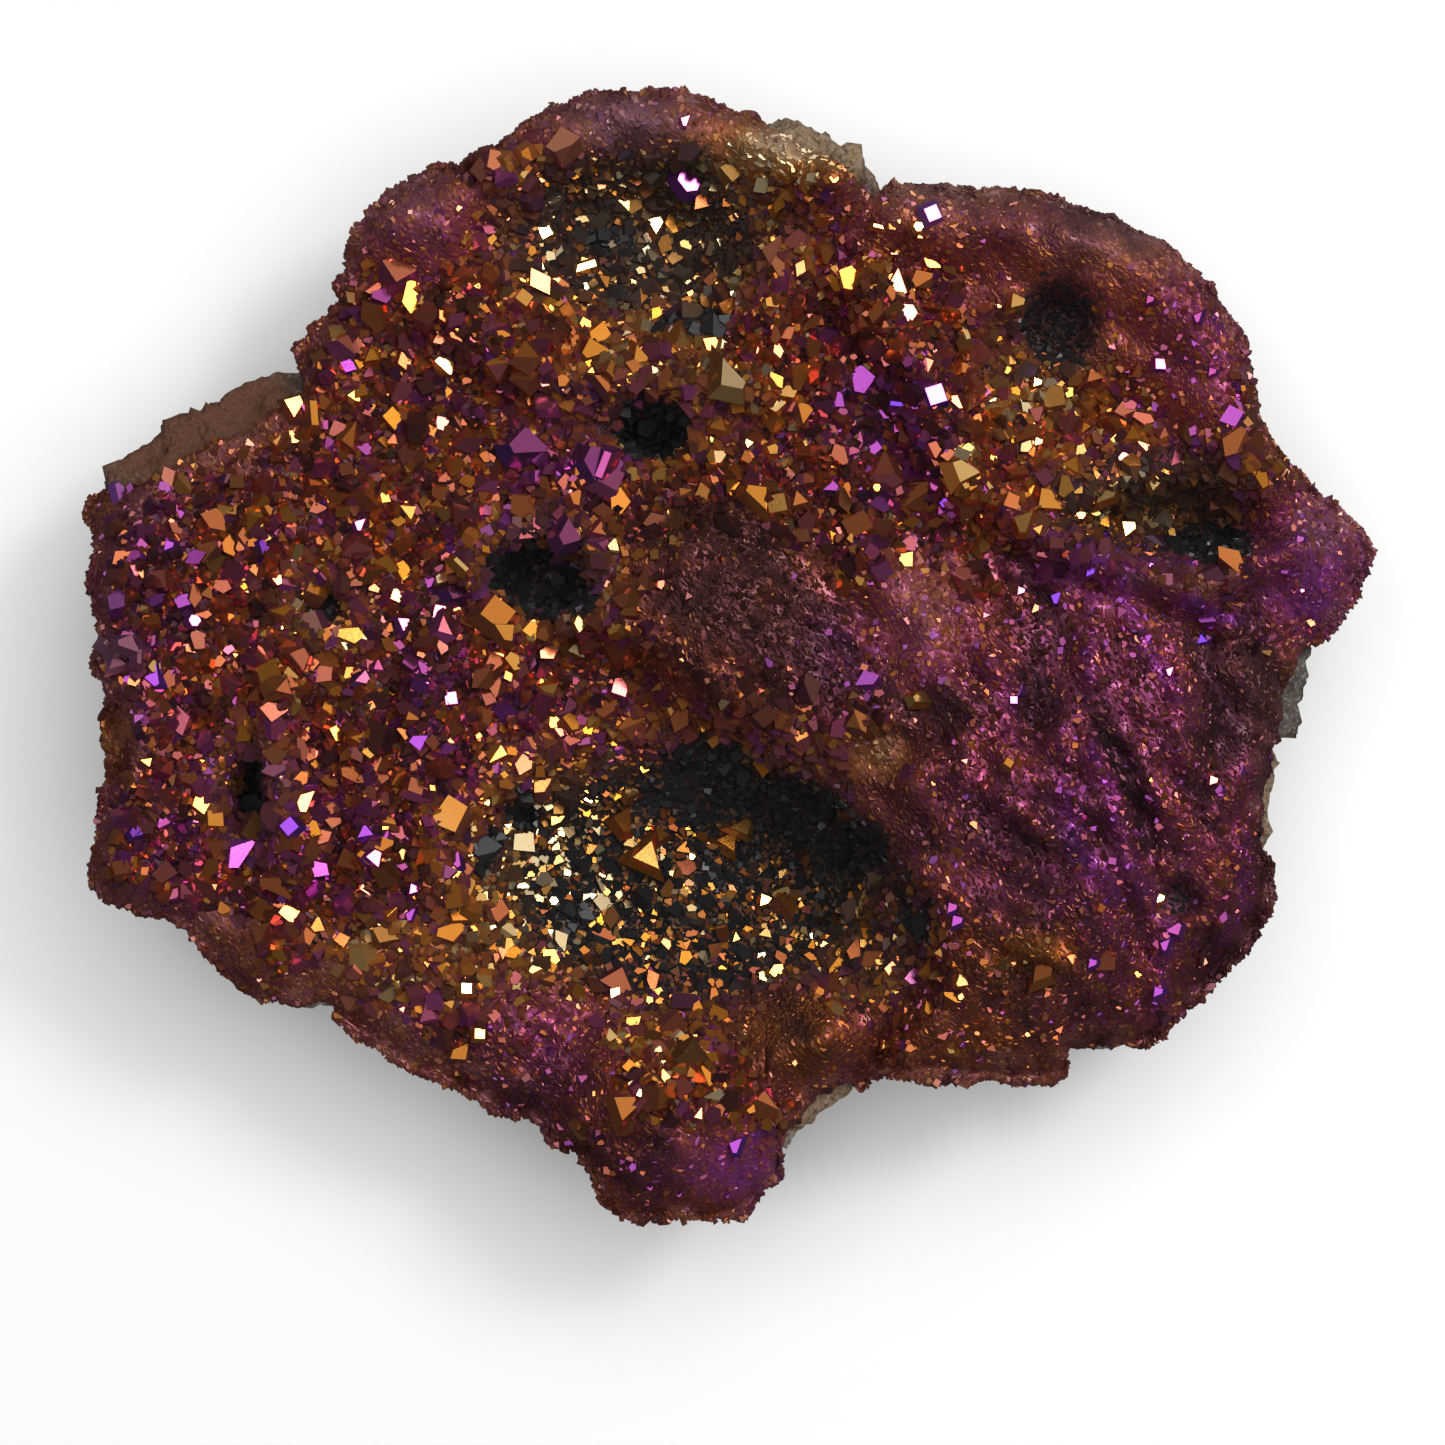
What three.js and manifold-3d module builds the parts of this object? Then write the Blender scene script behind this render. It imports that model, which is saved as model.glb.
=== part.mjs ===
// A broken slab of geode: a lumpy rock matrix under one crust of intergrown crystals.
// Millimetres, +Z up. The slab lies on its flat underside, and the origin is under its middle.
import * as THREE from 'three';
import { ConvexHull } from 'three/addons/math/ConvexHull.js';
import { ConvexGeometry } from 'three/addons/geometries/ConvexGeometry.js';
import { mergeVertices } from 'three/addons/utils/BufferGeometryUtils.js';
import Module from 'manifold-3d';

// Driving dimensions, in millimetres.
const slabLength = 150;          // left tip to right tip
const planLength = 1303;         // the same length in plan units
const planMiddle = [724.5, 655.5];
const planHub = [700, 620];      // the plan is star-shaped about this point
const meanHeight = 27;           // crystal surface above the base, before the relief
const seam = 0.3;                // gap between crust and matrix
const crustCover = 2.4;          // least crust thickness under the crystals
const spareCover = 1;            // more of it at the points of the underside
const coarseSpacing = 3.4;       // between coarse crystal points
const fineSpacing = 3.6;         // between the low lumps of the fine druse
const undersideSpacing = 9.5;    // between points of the crust's underside
const edgeMargin = 0.62;         // share of the spacing kept clear along the rim
const rollWidth = 44;            // plan units over which the surface rolls down to the rim
const rollDrop = 2.6;            // how far it rolls down
const rippleRise = 0.9;          // height of the right lobe's folds
const valleyDepth = 0.3;         // of the valleys between crystal points, under the surface
const lipInset = 0.5;            // how far the crust's lower edge stands back from its upper one
const fineWrap = 5.4;            // depth of the crust's edge round the fine druse
const coarseWrap = 3.2;          // and round the coarse crystals
const bareWrap = 2.2;            // and where rock shows along the rim
const wrapWander = 0.9;          // how much that depth wanders along the rim
const singleRise = 0.55;         // how far the middle of a large crystal stands over the surface
const coarsePoint = { rise: 1.1, spread: 1.3, shift: 0.55 };
const finePoint = { rise: 0.35, spread: 0.4, shift: 0.15 };

// How hard the scattering and the settling try.
const undersideTries = 9000;
const crystalTries = 30000;
const settleRounds = 12;
const leastShare = 0.2;          // of a valley's shortfall that each corner round it takes up

const unit = slabLength / planLength;

// Rim of the slab in plan units: u runs right, v runs down.
const rimPlan = [
  [73, 508], [82, 495], [100, 477], [125, 460], [150, 441], [170, 428], [190, 421], [208, 417],
  [225, 400], [245, 387], [262, 384], [285, 366], [293, 361], [292, 347], [300, 339], [312, 339],
  [310, 329], [322, 317], [335, 310], [340, 296], [333, 280], [352, 268], [343, 256], [352, 238],
  [368, 215], [382, 201], [405, 182], [430, 168], [445, 161], [467, 171], [475, 157], [500, 149],
  [518, 139], [526, 124], [541, 117], [550, 106], [575, 104], [583, 94], [617, 93], [640, 92],
  [665, 90], [690, 93], [715, 105], [740, 114], [765, 113], [790, 116], [830, 136], [852, 153],
  [876, 172], [878, 187], [910, 185], [945, 186], [980, 191], [1008, 188], [1040, 193], [1066, 202],
  [1100, 214], [1128, 223], [1138, 232], [1160, 240], [1176, 251], [1190, 268], [1205, 281],
  [1218, 297], [1230, 315], [1247, 340], [1247, 370], [1253, 400], [1257, 425], [1272, 450],
  [1297, 468], [1320, 490], [1350, 512], [1365, 532], [1376, 553], [1368, 570], [1361, 590],
  [1345, 612], [1333, 630], [1319, 658], [1315, 680], [1306, 695], [1304, 720], [1296, 741],
  [1288, 745], [1286, 770], [1281, 790], [1276, 840], [1273, 860], [1275, 885], [1271, 915],
  [1258, 937], [1244, 952], [1225, 975], [1201, 998], [1184, 1014], [1166, 1036], [1140, 1049],
  [1105, 1053], [1076, 1055], [1067, 1074], [1050, 1082], [1028, 1078], [1014, 1085], [996, 1073],
  [964, 1079], [925, 1075], [882, 1069], [868, 1080], [860, 1096], [842, 1104], [820, 1113],
  [802, 1136], [782, 1153], [776, 1160], [781, 1178], [764, 1188], [756, 1205], [742, 1216],
  [708, 1221], [686, 1216], [662, 1220], [640, 1221], [612, 1213], [598, 1203], [595, 1188],
  [588, 1166], [576, 1147], [548, 1143], [541, 1123], [528, 1114], [511, 1120], [492, 1110],
  [472, 1096], [452, 1084], [420, 1074], [398, 1062], [380, 1045], [358, 1037], [335, 1018],
  [312, 1006], [286, 1016], [262, 1003], [225, 974], [207, 948], [178, 917], [145, 913],
  [106, 901], [90, 876], [93, 852], [100, 832], [98, 812], [105, 785], [112, 762], [104, 738],
  [96, 712], [114, 698], [104, 686], [106, 677], [91, 665], [93, 654], [104, 645], [106, 630],
  [96, 610], [90, 580], [98, 548], [90, 526],
];

// Relief of the crystal surface. Places and reaches are in plan units, rises in millimetres.
const humps = [
  { name: 'left knob', at: [402, 215], reach: [85, 66], rise: 6 },
  { name: 'right tip', at: [1322, 570], reach: [84, 90], rise: 3 },
  { name: 'right lobe', at: [1075, 790], reach: [300, 300], rise: 8 },
  { name: 'saddle', at: [725, 600], reach: [160, 140], rise: 3 },
  { name: 'bottom tip', at: [668, 1120], reach: [155, 125], rise: 8 },
  { name: 'bottom shoulder', at: [812, 1035], reach: [90, 60], rise: 3 },
  { name: 'left tip', at: [85, 505], reach: [110, 70], rise: -5 },
  { name: 'left slope', at: [170, 560], reach: [150, 120], rise: 2.5 },
  { name: 'deep floor', at: [770, 865], reach: [150, 115], rise: -5 },
  { name: 'first hollow', at: [1005, 355], reach: [75, 62], rise: -4 },
  { name: 'second hollow', at: [1105, 410], reach: [100, 78], rise: -5 },
];
const bowls = [
  { name: 'top bowl', at: [640, 245], reach: [135, 105], rise: -7 },
  { name: 'main bowl', at: [705, 885], reach: [285, 190], rise: -9 },
  { name: 'slot', at: [1178, 520], reach: [118, 50], rise: -8 },
  { name: 'right pit', at: [1064, 318], reach: [48, 48], rise: -7.5 },
  { name: 'centre pit', at: [650, 425], reach: [52, 46], rise: -7 },
  { name: 'left pit', at: [537, 580], reach: [70, 52], rise: -10 },
  { name: 'fold slot', at: [243, 795], reach: [28, 56], rise: -6 },
  { name: 'dimple', at: [320, 605], reach: [30, 28], rise: -4 },
  { name: 'blue hollow', at: [505, 822], reach: [40, 36], rise: -3.5 },
  { name: 'small pit', at: [1180, 900], reach: [30, 28], rise: -4 },
  { name: 'lobe dent', at: [885, 752], reach: [45, 36], rise: -2.5 },
];
const ridges = [
  { name: 'top rim', line: [[470, 180], [530, 138], [600, 112], [680, 112], [760, 140], [830, 180]],
    width: 52, rise: 6 },
  { name: 'top shoulder', line: [[835, 185], [805, 250], [775, 320]], width: 46, rise: 4 },
  { name: 'gold ridge', line: [[450, 320], [560, 372], [680, 386], [770, 378]], width: 50, rise: 4 },
  { name: 'right rim', line: [[900, 212], [1000, 216], [1100, 242], [1180, 295], [1218, 365], [1232, 420],
    [1262, 470]], width: 62, rise: 6 },
  { name: 'violet ridge', line: [[868, 288], [900, 340], [930, 402], [968, 485]], width: 44, rise: 6 },
  { name: 'slot lip', line: [[1000, 508], [1060, 548], [1130, 574], [1205, 588], [1290, 548]],
    width: 30, rise: 4.5 },
  { name: 'lobe crest', line: [[868, 560], [930, 612], [962, 700]], width: 50, rise: 3 },
  { name: 'left rim', line: [[118, 520], [122, 620], [126, 720], [124, 820], [122, 872], [235, 950]],
    width: 62, rise: 3.5 },
  { name: 'first fold', line: [[276, 690], [282, 780], [292, 880]], width: 32, rise: 4 },
  { name: 'second fold', line: [[362, 690], [366, 800], [372, 900]], width: 32, rise: 2.5 },
  { name: 'third fold', line: [[432, 630], [426, 760], [442, 880]], width: 42, rise: 3 },
];
const rippledPatch = { at: [1095, 800], reach: [330, 310] };
const cliff = {
  line: [[590, 632], [655, 655], [705, 702], [760, 738], [805, 782], [872, 838], [930, 905], [942, 968],
    [905, 1040]],
  edge: 17,        // half the plan width of the wall
  reach: 210,      // how far the raised side carries on
  rise: 6,
};

// Rock left bare along the rim: place, half length in plan units, width in millimetres.
const bareStretches = [
  { at: [190, 428], halfLength: 128, width: 5.2 },
  { at: [825, 138], halfLength: 80, width: 2.6 },
  { at: [1306, 690], halfLength: 62, width: 3.0 },
  { at: [1280, 795], halfLength: 70, width: 2.2 },
  { at: [815, 1122], halfLength: 58, width: 2.4 },
  { at: [292, 1010], halfLength: 42, width: 1.4 },
  { at: [1105, 1052], halfLength: 40, width: 1.2 },
];

// Patches of fine druse: place and reach in plan units.
const finePatches = [
  { at: [1100, 800], reach: [330, 300] },
  { at: [1150, 270], reach: [230, 110] },
  { at: [950, 215], reach: [150, 60] },
  { at: [405, 212], reach: [95, 80] },
  { at: [660, 105], reach: [200, 55] },
  { at: [655, 1150], reach: [190, 110] },
  { at: [820, 1040], reach: [110, 75] },
  { at: [1000, 1030], reach: [220, 90] },
  { at: [740, 590], reach: [130, 120] },
  { at: [1330, 560], reach: [110, 120] },
];

// Largest single crystals: place in plan units, size in millimetres, lean and spin in degrees.
const singleCrystals = [
  { at: [605, 465], size: 5.0, lean: 24, toward: 40, spin: 10 },
  { at: [525, 440], size: 4.6, lean: 18, toward: 20, spin: 35 },
  { at: [497, 610], size: 4.2, lean: 30, toward: 60, spin: 15 },
  { at: [690, 172], size: 4.0, lean: 12, toward: 45, spin: 0 },
  { at: [655, 214], size: 2.6, lean: 20, toward: 50, spin: 20 },
  { at: [590, 350], size: 3.8, lean: 26, toward: 30, spin: 5 },
  { at: [640, 353], size: 3.6, lean: 28, toward: 60, spin: 50 },
  { at: [610, 384], size: 3.4, lean: 22, toward: 75, spin: 25 },
  { at: [730, 380], size: 3.8, lean: 20, toward: 15, spin: 40 },
  { at: [765, 498], size: 4.0, lean: 26, toward: 50, spin: 12 },
  { at: [570, 535], size: 3.2, lean: 30, toward: 85, spin: 22 },
  { at: [455, 582], size: 3.8, lean: 20, toward: 30, spin: 44 },
  { at: [523, 293], size: 3.2, lean: 24, toward: 55, spin: 8 },
  { at: [935, 397], size: 3.6, lean: 16, toward: 48, spin: 30 },
  { at: [895, 402], size: 3.2, lean: 30, toward: 130, spin: 10 },
  { at: [1050, 495], size: 4.0, lean: 22, toward: 40, spin: 18 },
  { at: [287, 396], size: 3.2, lean: 28, toward: 65, spin: 6 },
  { at: [335, 733], size: 3.4, lean: 24, toward: 42, spin: 33 },
  { at: [375, 855], size: 3.2, lean: 26, toward: 58, spin: 14 },
  { at: [410, 742], size: 3.2, lean: 20, toward: 36, spin: 48 },
  { at: [152, 678], size: 3.2, lean: 16, toward: 50, spin: 20 },
  { at: [645, 850], size: 4.4, lean: 34, toward: 350, spin: 28 },
  { at: [738, 836], size: 3.4, lean: 26, toward: 46, spin: 3 },
  { at: [790, 908], size: 3.8, lean: 24, toward: 60, spin: 38 },
  { at: [630, 1100], size: 3.8, lean: 20, toward: 44, spin: 16 },
  { at: [618, 990], size: 4.0, lean: 26, toward: 52, spin: 42 },
  { at: [478, 1036], size: 3.2, lean: 28, toward: 66, spin: 24 },
  { at: [520, 700], size: 4.0, lean: 22, toward: 34, spin: 52 },
];

const fromPlan = ([u, v]) => [(u - planMiddle[0]) * unit, (planMiddle[1] - v) * unit];
const toPlan = (x, y) => [x / unit + planMiddle[0], planMiddle[1] - y / unit];
const hub = fromPlan(planHub);

// Repeatable random numbers from 0 to 1.
function seededRandom(seed) {
  let state = seed;
  return () => {
    state = (state + 0x6d2b79f5) | 0;
    let mixed = Math.imul(state ^ (state >>> 15), 1 | state);
    mixed = (mixed + Math.imul(mixed ^ (mixed >>> 7), 61 | mixed)) ^ mixed;
    return ((mixed ^ (mixed >>> 14)) >>> 0) / 4294967296;
  };
}

const bump = (t) => (t >= 1 ? 0 : (1 - t * t) ** 2);
const ellipseDistance = ([u, v], { at, reach }) => Math.hypot((u - at[0]) / reach[0], (v - at[1]) / reach[1]);

// Distance from a plan point to a polyline, and the side it lies on (+1 is left of the line's way).
function lineDistance([u, v], line, closed = false) {
  let best = Infinity;
  let side = 1;
  const last = closed ? line.length : line.length - 1;
  for (let i = 0; i < last; i += 1) {
    const [au, av] = line[i];
    const [bu, bv] = line[(i + 1) % line.length];
    const [du, dv] = [bu - au, bv - av];
    const t = THREE.MathUtils.clamp(((u - au) * du + (v - av) * dv) / (du * du + dv * dv), 0, 1);
    const distance = Math.hypot(u - au - t * du, v - av - t * dv);
    if (distance < best) {
      best = distance;
      side = du * (v - av) - dv * (u - au) > 0 ? -1 : 1;
    }
  }
  return { distance: best, side };
}

// Low lumps that run over the whole surface.
function lumps(u, v) {
  const first = Math.sin(u * 0.061 + 1.7 * Math.sin(v * 0.023 + 0.4)) * Math.sin(v * 0.052 + 1.1);
  const second = Math.sin(u * 0.113 - v * 0.047 + 2.1) * Math.sin(v * 0.097 + u * 0.031);
  return 0.55 * first + 0.35 * second;
}

// Steep diagonal folds of the right lobe.
function ripples(u, v) {
  const along = u * 0.5 + v * 0.87;
  const across = u * 0.87 - v * 0.5;
  const fold = Math.sin(across * 0.118 + 1.3 * Math.sin(along * 0.043));
  const wave = 0.6 + 0.4 * Math.sin(along * 0.071 + 0.8);
  return rippleRise * fold * wave * bump(ellipseDistance([u, v], rippledPatch));
}

// Height of the crystal surface over a plan point.
function surfaceHeight(plan) {
  let height = meanHeight + lumps(...plan) + ripples(...plan);
  for (const hump of humps) height += hump.rise * bump(ellipseDistance(plan, hump));
  for (const bowl of bowls) {
    height += bowl.rise * (1 - THREE.MathUtils.smoothstep(ellipseDistance(plan, bowl), 0.4, 1));
  }
  for (const ridge of ridges) {
    height += ridge.rise * bump(lineDistance(plan, ridge.line).distance / ridge.width);
  }
  const { distance, side } = lineDistance(plan, cliff.line);
  const wall = THREE.MathUtils.smoothstep(distance * side, -cliff.edge, cliff.edge);
  height += cliff.rise * wall * bump(distance / cliff.reach);
  const toRim = lineDistance(plan, rimPlan, true).distance;
  return height - rollDrop * Math.max(0, 1 - toRim / rollWidth) ** 2;
}

// 1 in coarse crystals, 0 in fine druse.
function coarseness(plan) {
  let coarse = 1;
  for (const patch of finePatches) {
    coarse = Math.min(coarse, THREE.MathUtils.smoothstep(ellipseDistance(plan, patch), 0.7, 1.05));
  }
  return coarse;
}

function bareWidth(plan) {
  let width = 0;
  for (const stretch of bareStretches) {
    const away = Math.hypot(plan[0] - stretch.at[0], plan[1] - stretch.at[1]) / stretch.halfLength;
    width = Math.max(width, stretch.width * (1 - THREE.MathUtils.smoothstep(away, 0.75, 1)));
  }
  return width;
}

const cross = (a, b, c) => (b[0] - a[0]) * (c[1] - a[1]) - (b[1] - a[1]) * (c[0] - a[0]);

function insideLoop([x, y], loop) {
  let inside = false;
  for (let i = 0, j = loop.length - 1; i < loop.length; j = i, i += 1) {
    const [ax, ay] = loop[i];
    const [bx, by] = loop[j];
    if ((ay > y) !== (by > y) && x < ((bx - ax) * (y - ay)) / (by - ay) + ax) inside = !inside;
  }
  return inside;
}

// Delaunay triangles of the points, inside a loop that is their first loopLength points.
function triangulate(points, loopLength) {
  const lifted = points.map(([x, y]) => new THREE.Vector3(x, y, x * x + y * y));
  const index = new Map(lifted.map((point, i) => [point, i]));
  const loop = points.slice(0, loopLength);
  const triangles = [];
  for (const face of new ConvexHull().setFromPoints(lifted).faces) {
    if (face.normal.z >= 0) continue;
    const edges = [face.edge, face.edge.next, face.edge.next.next];
    const corners = edges.map((edge) => index.get(edge.head().point));
    const [a, b, c] = corners.map((corner) => points[corner]);
    const middle = [(a[0] + b[0] + c[0]) / 3, (a[1] + b[1] + c[1]) / 3];
    if (insideLoop(middle, loop)) triangles.push(cross(a, b, c) > 0 ? corners : corners.reverse());
  }
  return triangles;
}

// Points scattered inside a loop, no two nearer than the spacing that applies there.
function scatter(loop, spacingAt, tries, random) {
  const points = [];
  for (let n = 0; n < tries; n += 1) {
    const point = [(random() - 0.5) * slabLength, (random() - 0.5) * slabLength];
    if (!insideLoop(point, loop)) continue;
    const spacing = spacingAt(point);
    if (lineDistance(point, loop, true).distance < spacing * edgeMargin) continue;
    const isClear = (other) => Math.hypot(other[0] - point[0], other[1] - point[1]) > spacing;
    if (points.every(isClear)) points.push(point);
  }
  return points;
}

// Collects vertices and triangles of one closed body.
class Shell {
  constructor() {
    this.positions = [];
    this.indices = [];
  }

  vertex(x, y, z) {
    this.positions.push(x, y, z);
    return this.positions.length / 3 - 1;
  }

  triangle(a, b, c) {
    this.indices.push(a, b, c);
  }

  // Wall between two rings that run anticlockwise, the first one on top. Each ring is a list of
  // vertices with their places along a rim of placeCount places.
  stitch(upper, lower, placeCount) {
    const placeOf = (ring, k) => ring[k % ring.length].place + (k >= ring.length ? placeCount : 0);
    let [i, j] = [0, 0];
    while (i < upper.length || j < lower.length) {
      const [high, low] = [upper[i % upper.length].vertex, lower[j % lower.length].vertex];
      const lowerIsNext = placeOf(lower, j + 1) <= placeOf(upper, i + 1);
      if (i >= upper.length || (j < lower.length && lowerIsNext)) {
        j += 1;
        this.triangle(high, low, lower[j % lower.length].vertex);
      } else {
        i += 1;
        this.triangle(high, low, upper[i % upper.length].vertex);
      }
    }
  }

  geometry() {
    const geometry = new THREE.BufferGeometry();
    geometry.setAttribute('position', new THREE.Float32BufferAttribute(this.positions, 3));
    geometry.setIndex(this.indices);
    return geometry;
  }
}

// The rim, its outward directions, and the loops of the crust's edge and lip.
const rim = rimPlan.map(fromPlan).reverse();
const outward = rim.map(([x, y]) => {
  const length = Math.hypot(x - hub[0], y - hub[1]);
  return [(x - hub[0]) / length, (y - hub[1]) / length];
});
const moveOut = (i, distance) => [rim[i][0] + outward[i][0] * distance, rim[i][1] + outward[i][1] * distance];
const bare = rim.map((point) => bareWidth(toPlan(...point)));
const crustEdge = rim.map((point, i) => moveOut(i, -bare[i]));
const edgeHeight = crustEdge.map((point) => surfaceHeight(toPlan(...point)));
const crustLip = rim.map((point, i) => moveOut(i, -bare[i] - lipInset));
const lipHeight = crustLip.map((point, i) => {
  const wrap = THREE.MathUtils.lerp(fineWrap, coarseWrap, coarseness(toPlan(...point)));
  return edgeHeight[i] - (bare[i] > 0 ? bareWrap : wrap + wrapWander * Math.sin(i * 1.9));
});

// Underside of the crust: points and heights, kept crustCover below the crystals.
const undersideSites = scatter(crustLip, () => undersideSpacing, undersideTries, seededRandom(71));
const undersidePoints = [...crustLip, ...undersideSites];
const undersideTriangles = triangulate(undersidePoints, crustLip.length);
const undersideHeights = [
  ...lipHeight,
  ...undersideSites.map((point) => surfaceHeight(toPlan(...point)) - crustCover - spareCover),
];

// Crystal points on top of the crust, and the valley between each three of them.
const random = seededRandom(20);
const spacingAt = (point) => THREE.MathUtils.lerp(fineSpacing, coarseSpacing, coarseness(toPlan(...point)));
const crystalSites = scatter(crustEdge, spacingAt, crystalTries, random);
const topPoints = [...crustEdge, ...crystalSites];
const topTriangles = triangulate(topPoints, crustEdge.length);
const tips = crystalSites.map((point) => {
  const coarse = coarseness(toPlan(...point));
  const between = (key) => THREE.MathUtils.lerp(finePoint[key], coarsePoint[key], coarse);
  const rise = between('rise') + random() * between('spread');
  const shift = between('shift');
  const turn = random() * 2 * Math.PI;
  const tip = [point[0] + shift * Math.cos(turn), point[1] + shift * Math.sin(turn)];
  return [...tip, surfaceHeight(toPlan(...point)) + rise];
});
const valleys = topTriangles.map((corners) => {
  const [x, y] = [0, 1].map((axis) => corners.reduce((sum, corner) => sum + topPoints[corner][axis], 0) / 3);
  return [x, y, surfaceHeight(toPlan(x, y)) - valleyDepth];
});

// Lowers the underside until it clears every valley by the crust's cover.
function settleUnderside() {
  for (let round = 0; round < settleRounds; round += 1) {
    for (const [x, y, z] of valleys) {
      for (const corners of undersideTriangles) {
        const [a, b, c] = corners.map((corner) => undersidePoints[corner]);
        const area = cross(a, b, c);
        const shares = [cross(b, c, [x, y]) / area, cross(c, a, [x, y]) / area, cross(a, b, [x, y]) / area];
        if (Math.min(...shares) < 0) continue;
        const level = corners.reduce((sum, corner, i) => sum + shares[i] * undersideHeights[corner], 0);
        const excess = level - (z - crustCover);
        if (excess <= 0) continue;
        corners.forEach((corner, i) => {
          undersideHeights[corner] -= excess * Math.max(leastShare, shares[i]);
        });
      }
    }
  }
}
settleUnderside();

// Proportions of a stubby crystal, as shares of its size.
const habit = {
  tip: [0.06, 0.04, 0.5],
  radius: 0.46,
  radiusStep: 0.05,        // each side stands out a little further than the one before, in threes
  highShoulder: 0.3,
  lowShoulder: 0.06,
  foot: -0.22,
  footTaper: 0.8,
};

// A stubby crystal: six sides under a lopsided three-faced point, its axis along +Z.
function crystalGeometry(size) {
  const points = [new THREE.Vector3(...habit.tip)];
  for (let i = 0; i < 6; i += 1) {
    const angle = (i * Math.PI) / 3;
    const radius = habit.radius + habit.radiusStep * (i % 3);
    const [x, y] = [radius * Math.cos(angle), radius * Math.sin(angle)];
    points.push(new THREE.Vector3(x, y, i % 2 ? habit.highShoulder : habit.lowShoulder));
    points.push(new THREE.Vector3(x * habit.footTaper, y * habit.footTaper, habit.foot));
  }
  return new ConvexGeometry(points.map((point) => point.multiplyScalar(size)));
}

const wasm = await Module();
wasm.setup();

function toSolid(geometry) {
  const bareGeometry = geometry.clone();
  bareGeometry.deleteAttribute('normal');
  bareGeometry.deleteAttribute('uv');
  const merged = mergeVertices(bareGeometry, 1e-4);
  const vertProperties = new Float32Array(merged.attributes.position.array);
  const triVerts = new Uint32Array(merged.index.array);
  return new wasm.Manifold(new wasm.Mesh({ numProp: 3, vertProperties, triVerts }));
}

function fromSolid(solid) {
  const mesh = solid.getMesh();
  const geometry = new THREE.BufferGeometry();
  geometry.setAttribute('position', new THREE.BufferAttribute(mesh.vertProperties, 3));
  geometry.setIndex(new THREE.BufferAttribute(mesh.triVerts, 1));
  return geometry;
}

// The crust: crystal facets on top, a rolled edge, and the underside that fits the rock.
function buildCrust() {
  const shell = new Shell();
  const edgeRing = crustEdge.map(([x, y], i) => shell.vertex(x, y, edgeHeight[i]));
  const topVertices = [...edgeRing, ...tips.map((tip) => shell.vertex(...tip))];
  const valleyVertices = valleys.map((valley) => shell.vertex(...valley));
  const planOf = (vertex) => [shell.positions[vertex * 3], shell.positions[vertex * 3 + 1]];
  const facesUp = (a, b, c) => cross(planOf(a), planOf(b), planOf(c)) > 0;

  const owners = new Map();
  topTriangles.forEach((corners, triangle) => {
    corners.forEach((start, k) => owners.set(`${start},${corners[(k + 1) % 3]}`, triangle));
  });
  for (const [edge, triangle] of owners) {
    const [start, end] = edge.split(',').map(Number);
    const [a, b] = [topVertices[start], topVertices[end]];
    const near = valleyVertices[triangle];
    const opposite = owners.get(`${end},${start}`);
    if (opposite === undefined) {
      shell.triangle(a, b, near);
      continue;
    }
    if (start > end) continue;
    const far = valleyVertices[opposite];
    if (facesUp(a, far, near) && facesUp(b, near, far)) {
      shell.triangle(a, far, near);
      shell.triangle(b, near, far);
    } else {
      shell.triangle(a, b, near);
      shell.triangle(b, a, far);
    }
  }

  const lowVertices = undersidePoints.map(([x, y], i) => shell.vertex(x, y, undersideHeights[i]));
  const placed = (vertices) => vertices.map((vertex, place) => ({ place, vertex }));
  shell.stitch(placed(edgeRing), placed(lowVertices.slice(0, rim.length)), rim.length);
  for (const [a, b, c] of undersideTriangles) shell.triangle(lowVertices[a], lowVertices[c], lowVertices[b]);

  const singles = singleCrystals.map(({ at, size, lean, toward, spin }) => {
    const crystal = new THREE.Object3D();
    crystal.rotation.order = 'ZYX';
    const heading = THREE.MathUtils.degToRad(toward);
    const axis = new THREE.Vector3(-Math.sin(heading), Math.cos(heading), 0);
    crystal.quaternion.setFromAxisAngle(axis, THREE.MathUtils.degToRad(lean));
    crystal.rotateZ(THREE.MathUtils.degToRad(spin));
    crystal.position.set(...fromPlan(at), surfaceHeight(at) + singleRise);
    crystal.updateMatrix();
    return toSolid(crystalGeometry(size).applyMatrix4(crystal.matrix));
  });
  return fromSolid(singles.reduce((solid, single) => solid.add(single), toSolid(shell.geometry())));
}

// Rings down the rock's side: share of the lip's height, distance out from the rim, roughness,
// and how many rim points each of its points stands for.
const rockRings = [
  { level: 0.74, out: -1.0, rough: 1.1, stride: 2 },
  { level: 0.5, out: -2.2, rough: 1.7, stride: 3 },
  { level: 0.24, out: -4.6, rough: 2.2, stride: 3 },
  { level: 0, out: -9.0, rough: 2.4, stride: 3 },
];
const ledgeDrop = 1.7;           // from the crust's lip down to the rock's shoulder
const shoulderInset = 0.9;       // how far that shoulder stands back from the rim
const bareDrop = 0.5;            // the ledge's drop where rock shows, as a share of the bare width
const levelWander = 0.1;         // how much the rings rise and fall, as a share of their height

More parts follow.
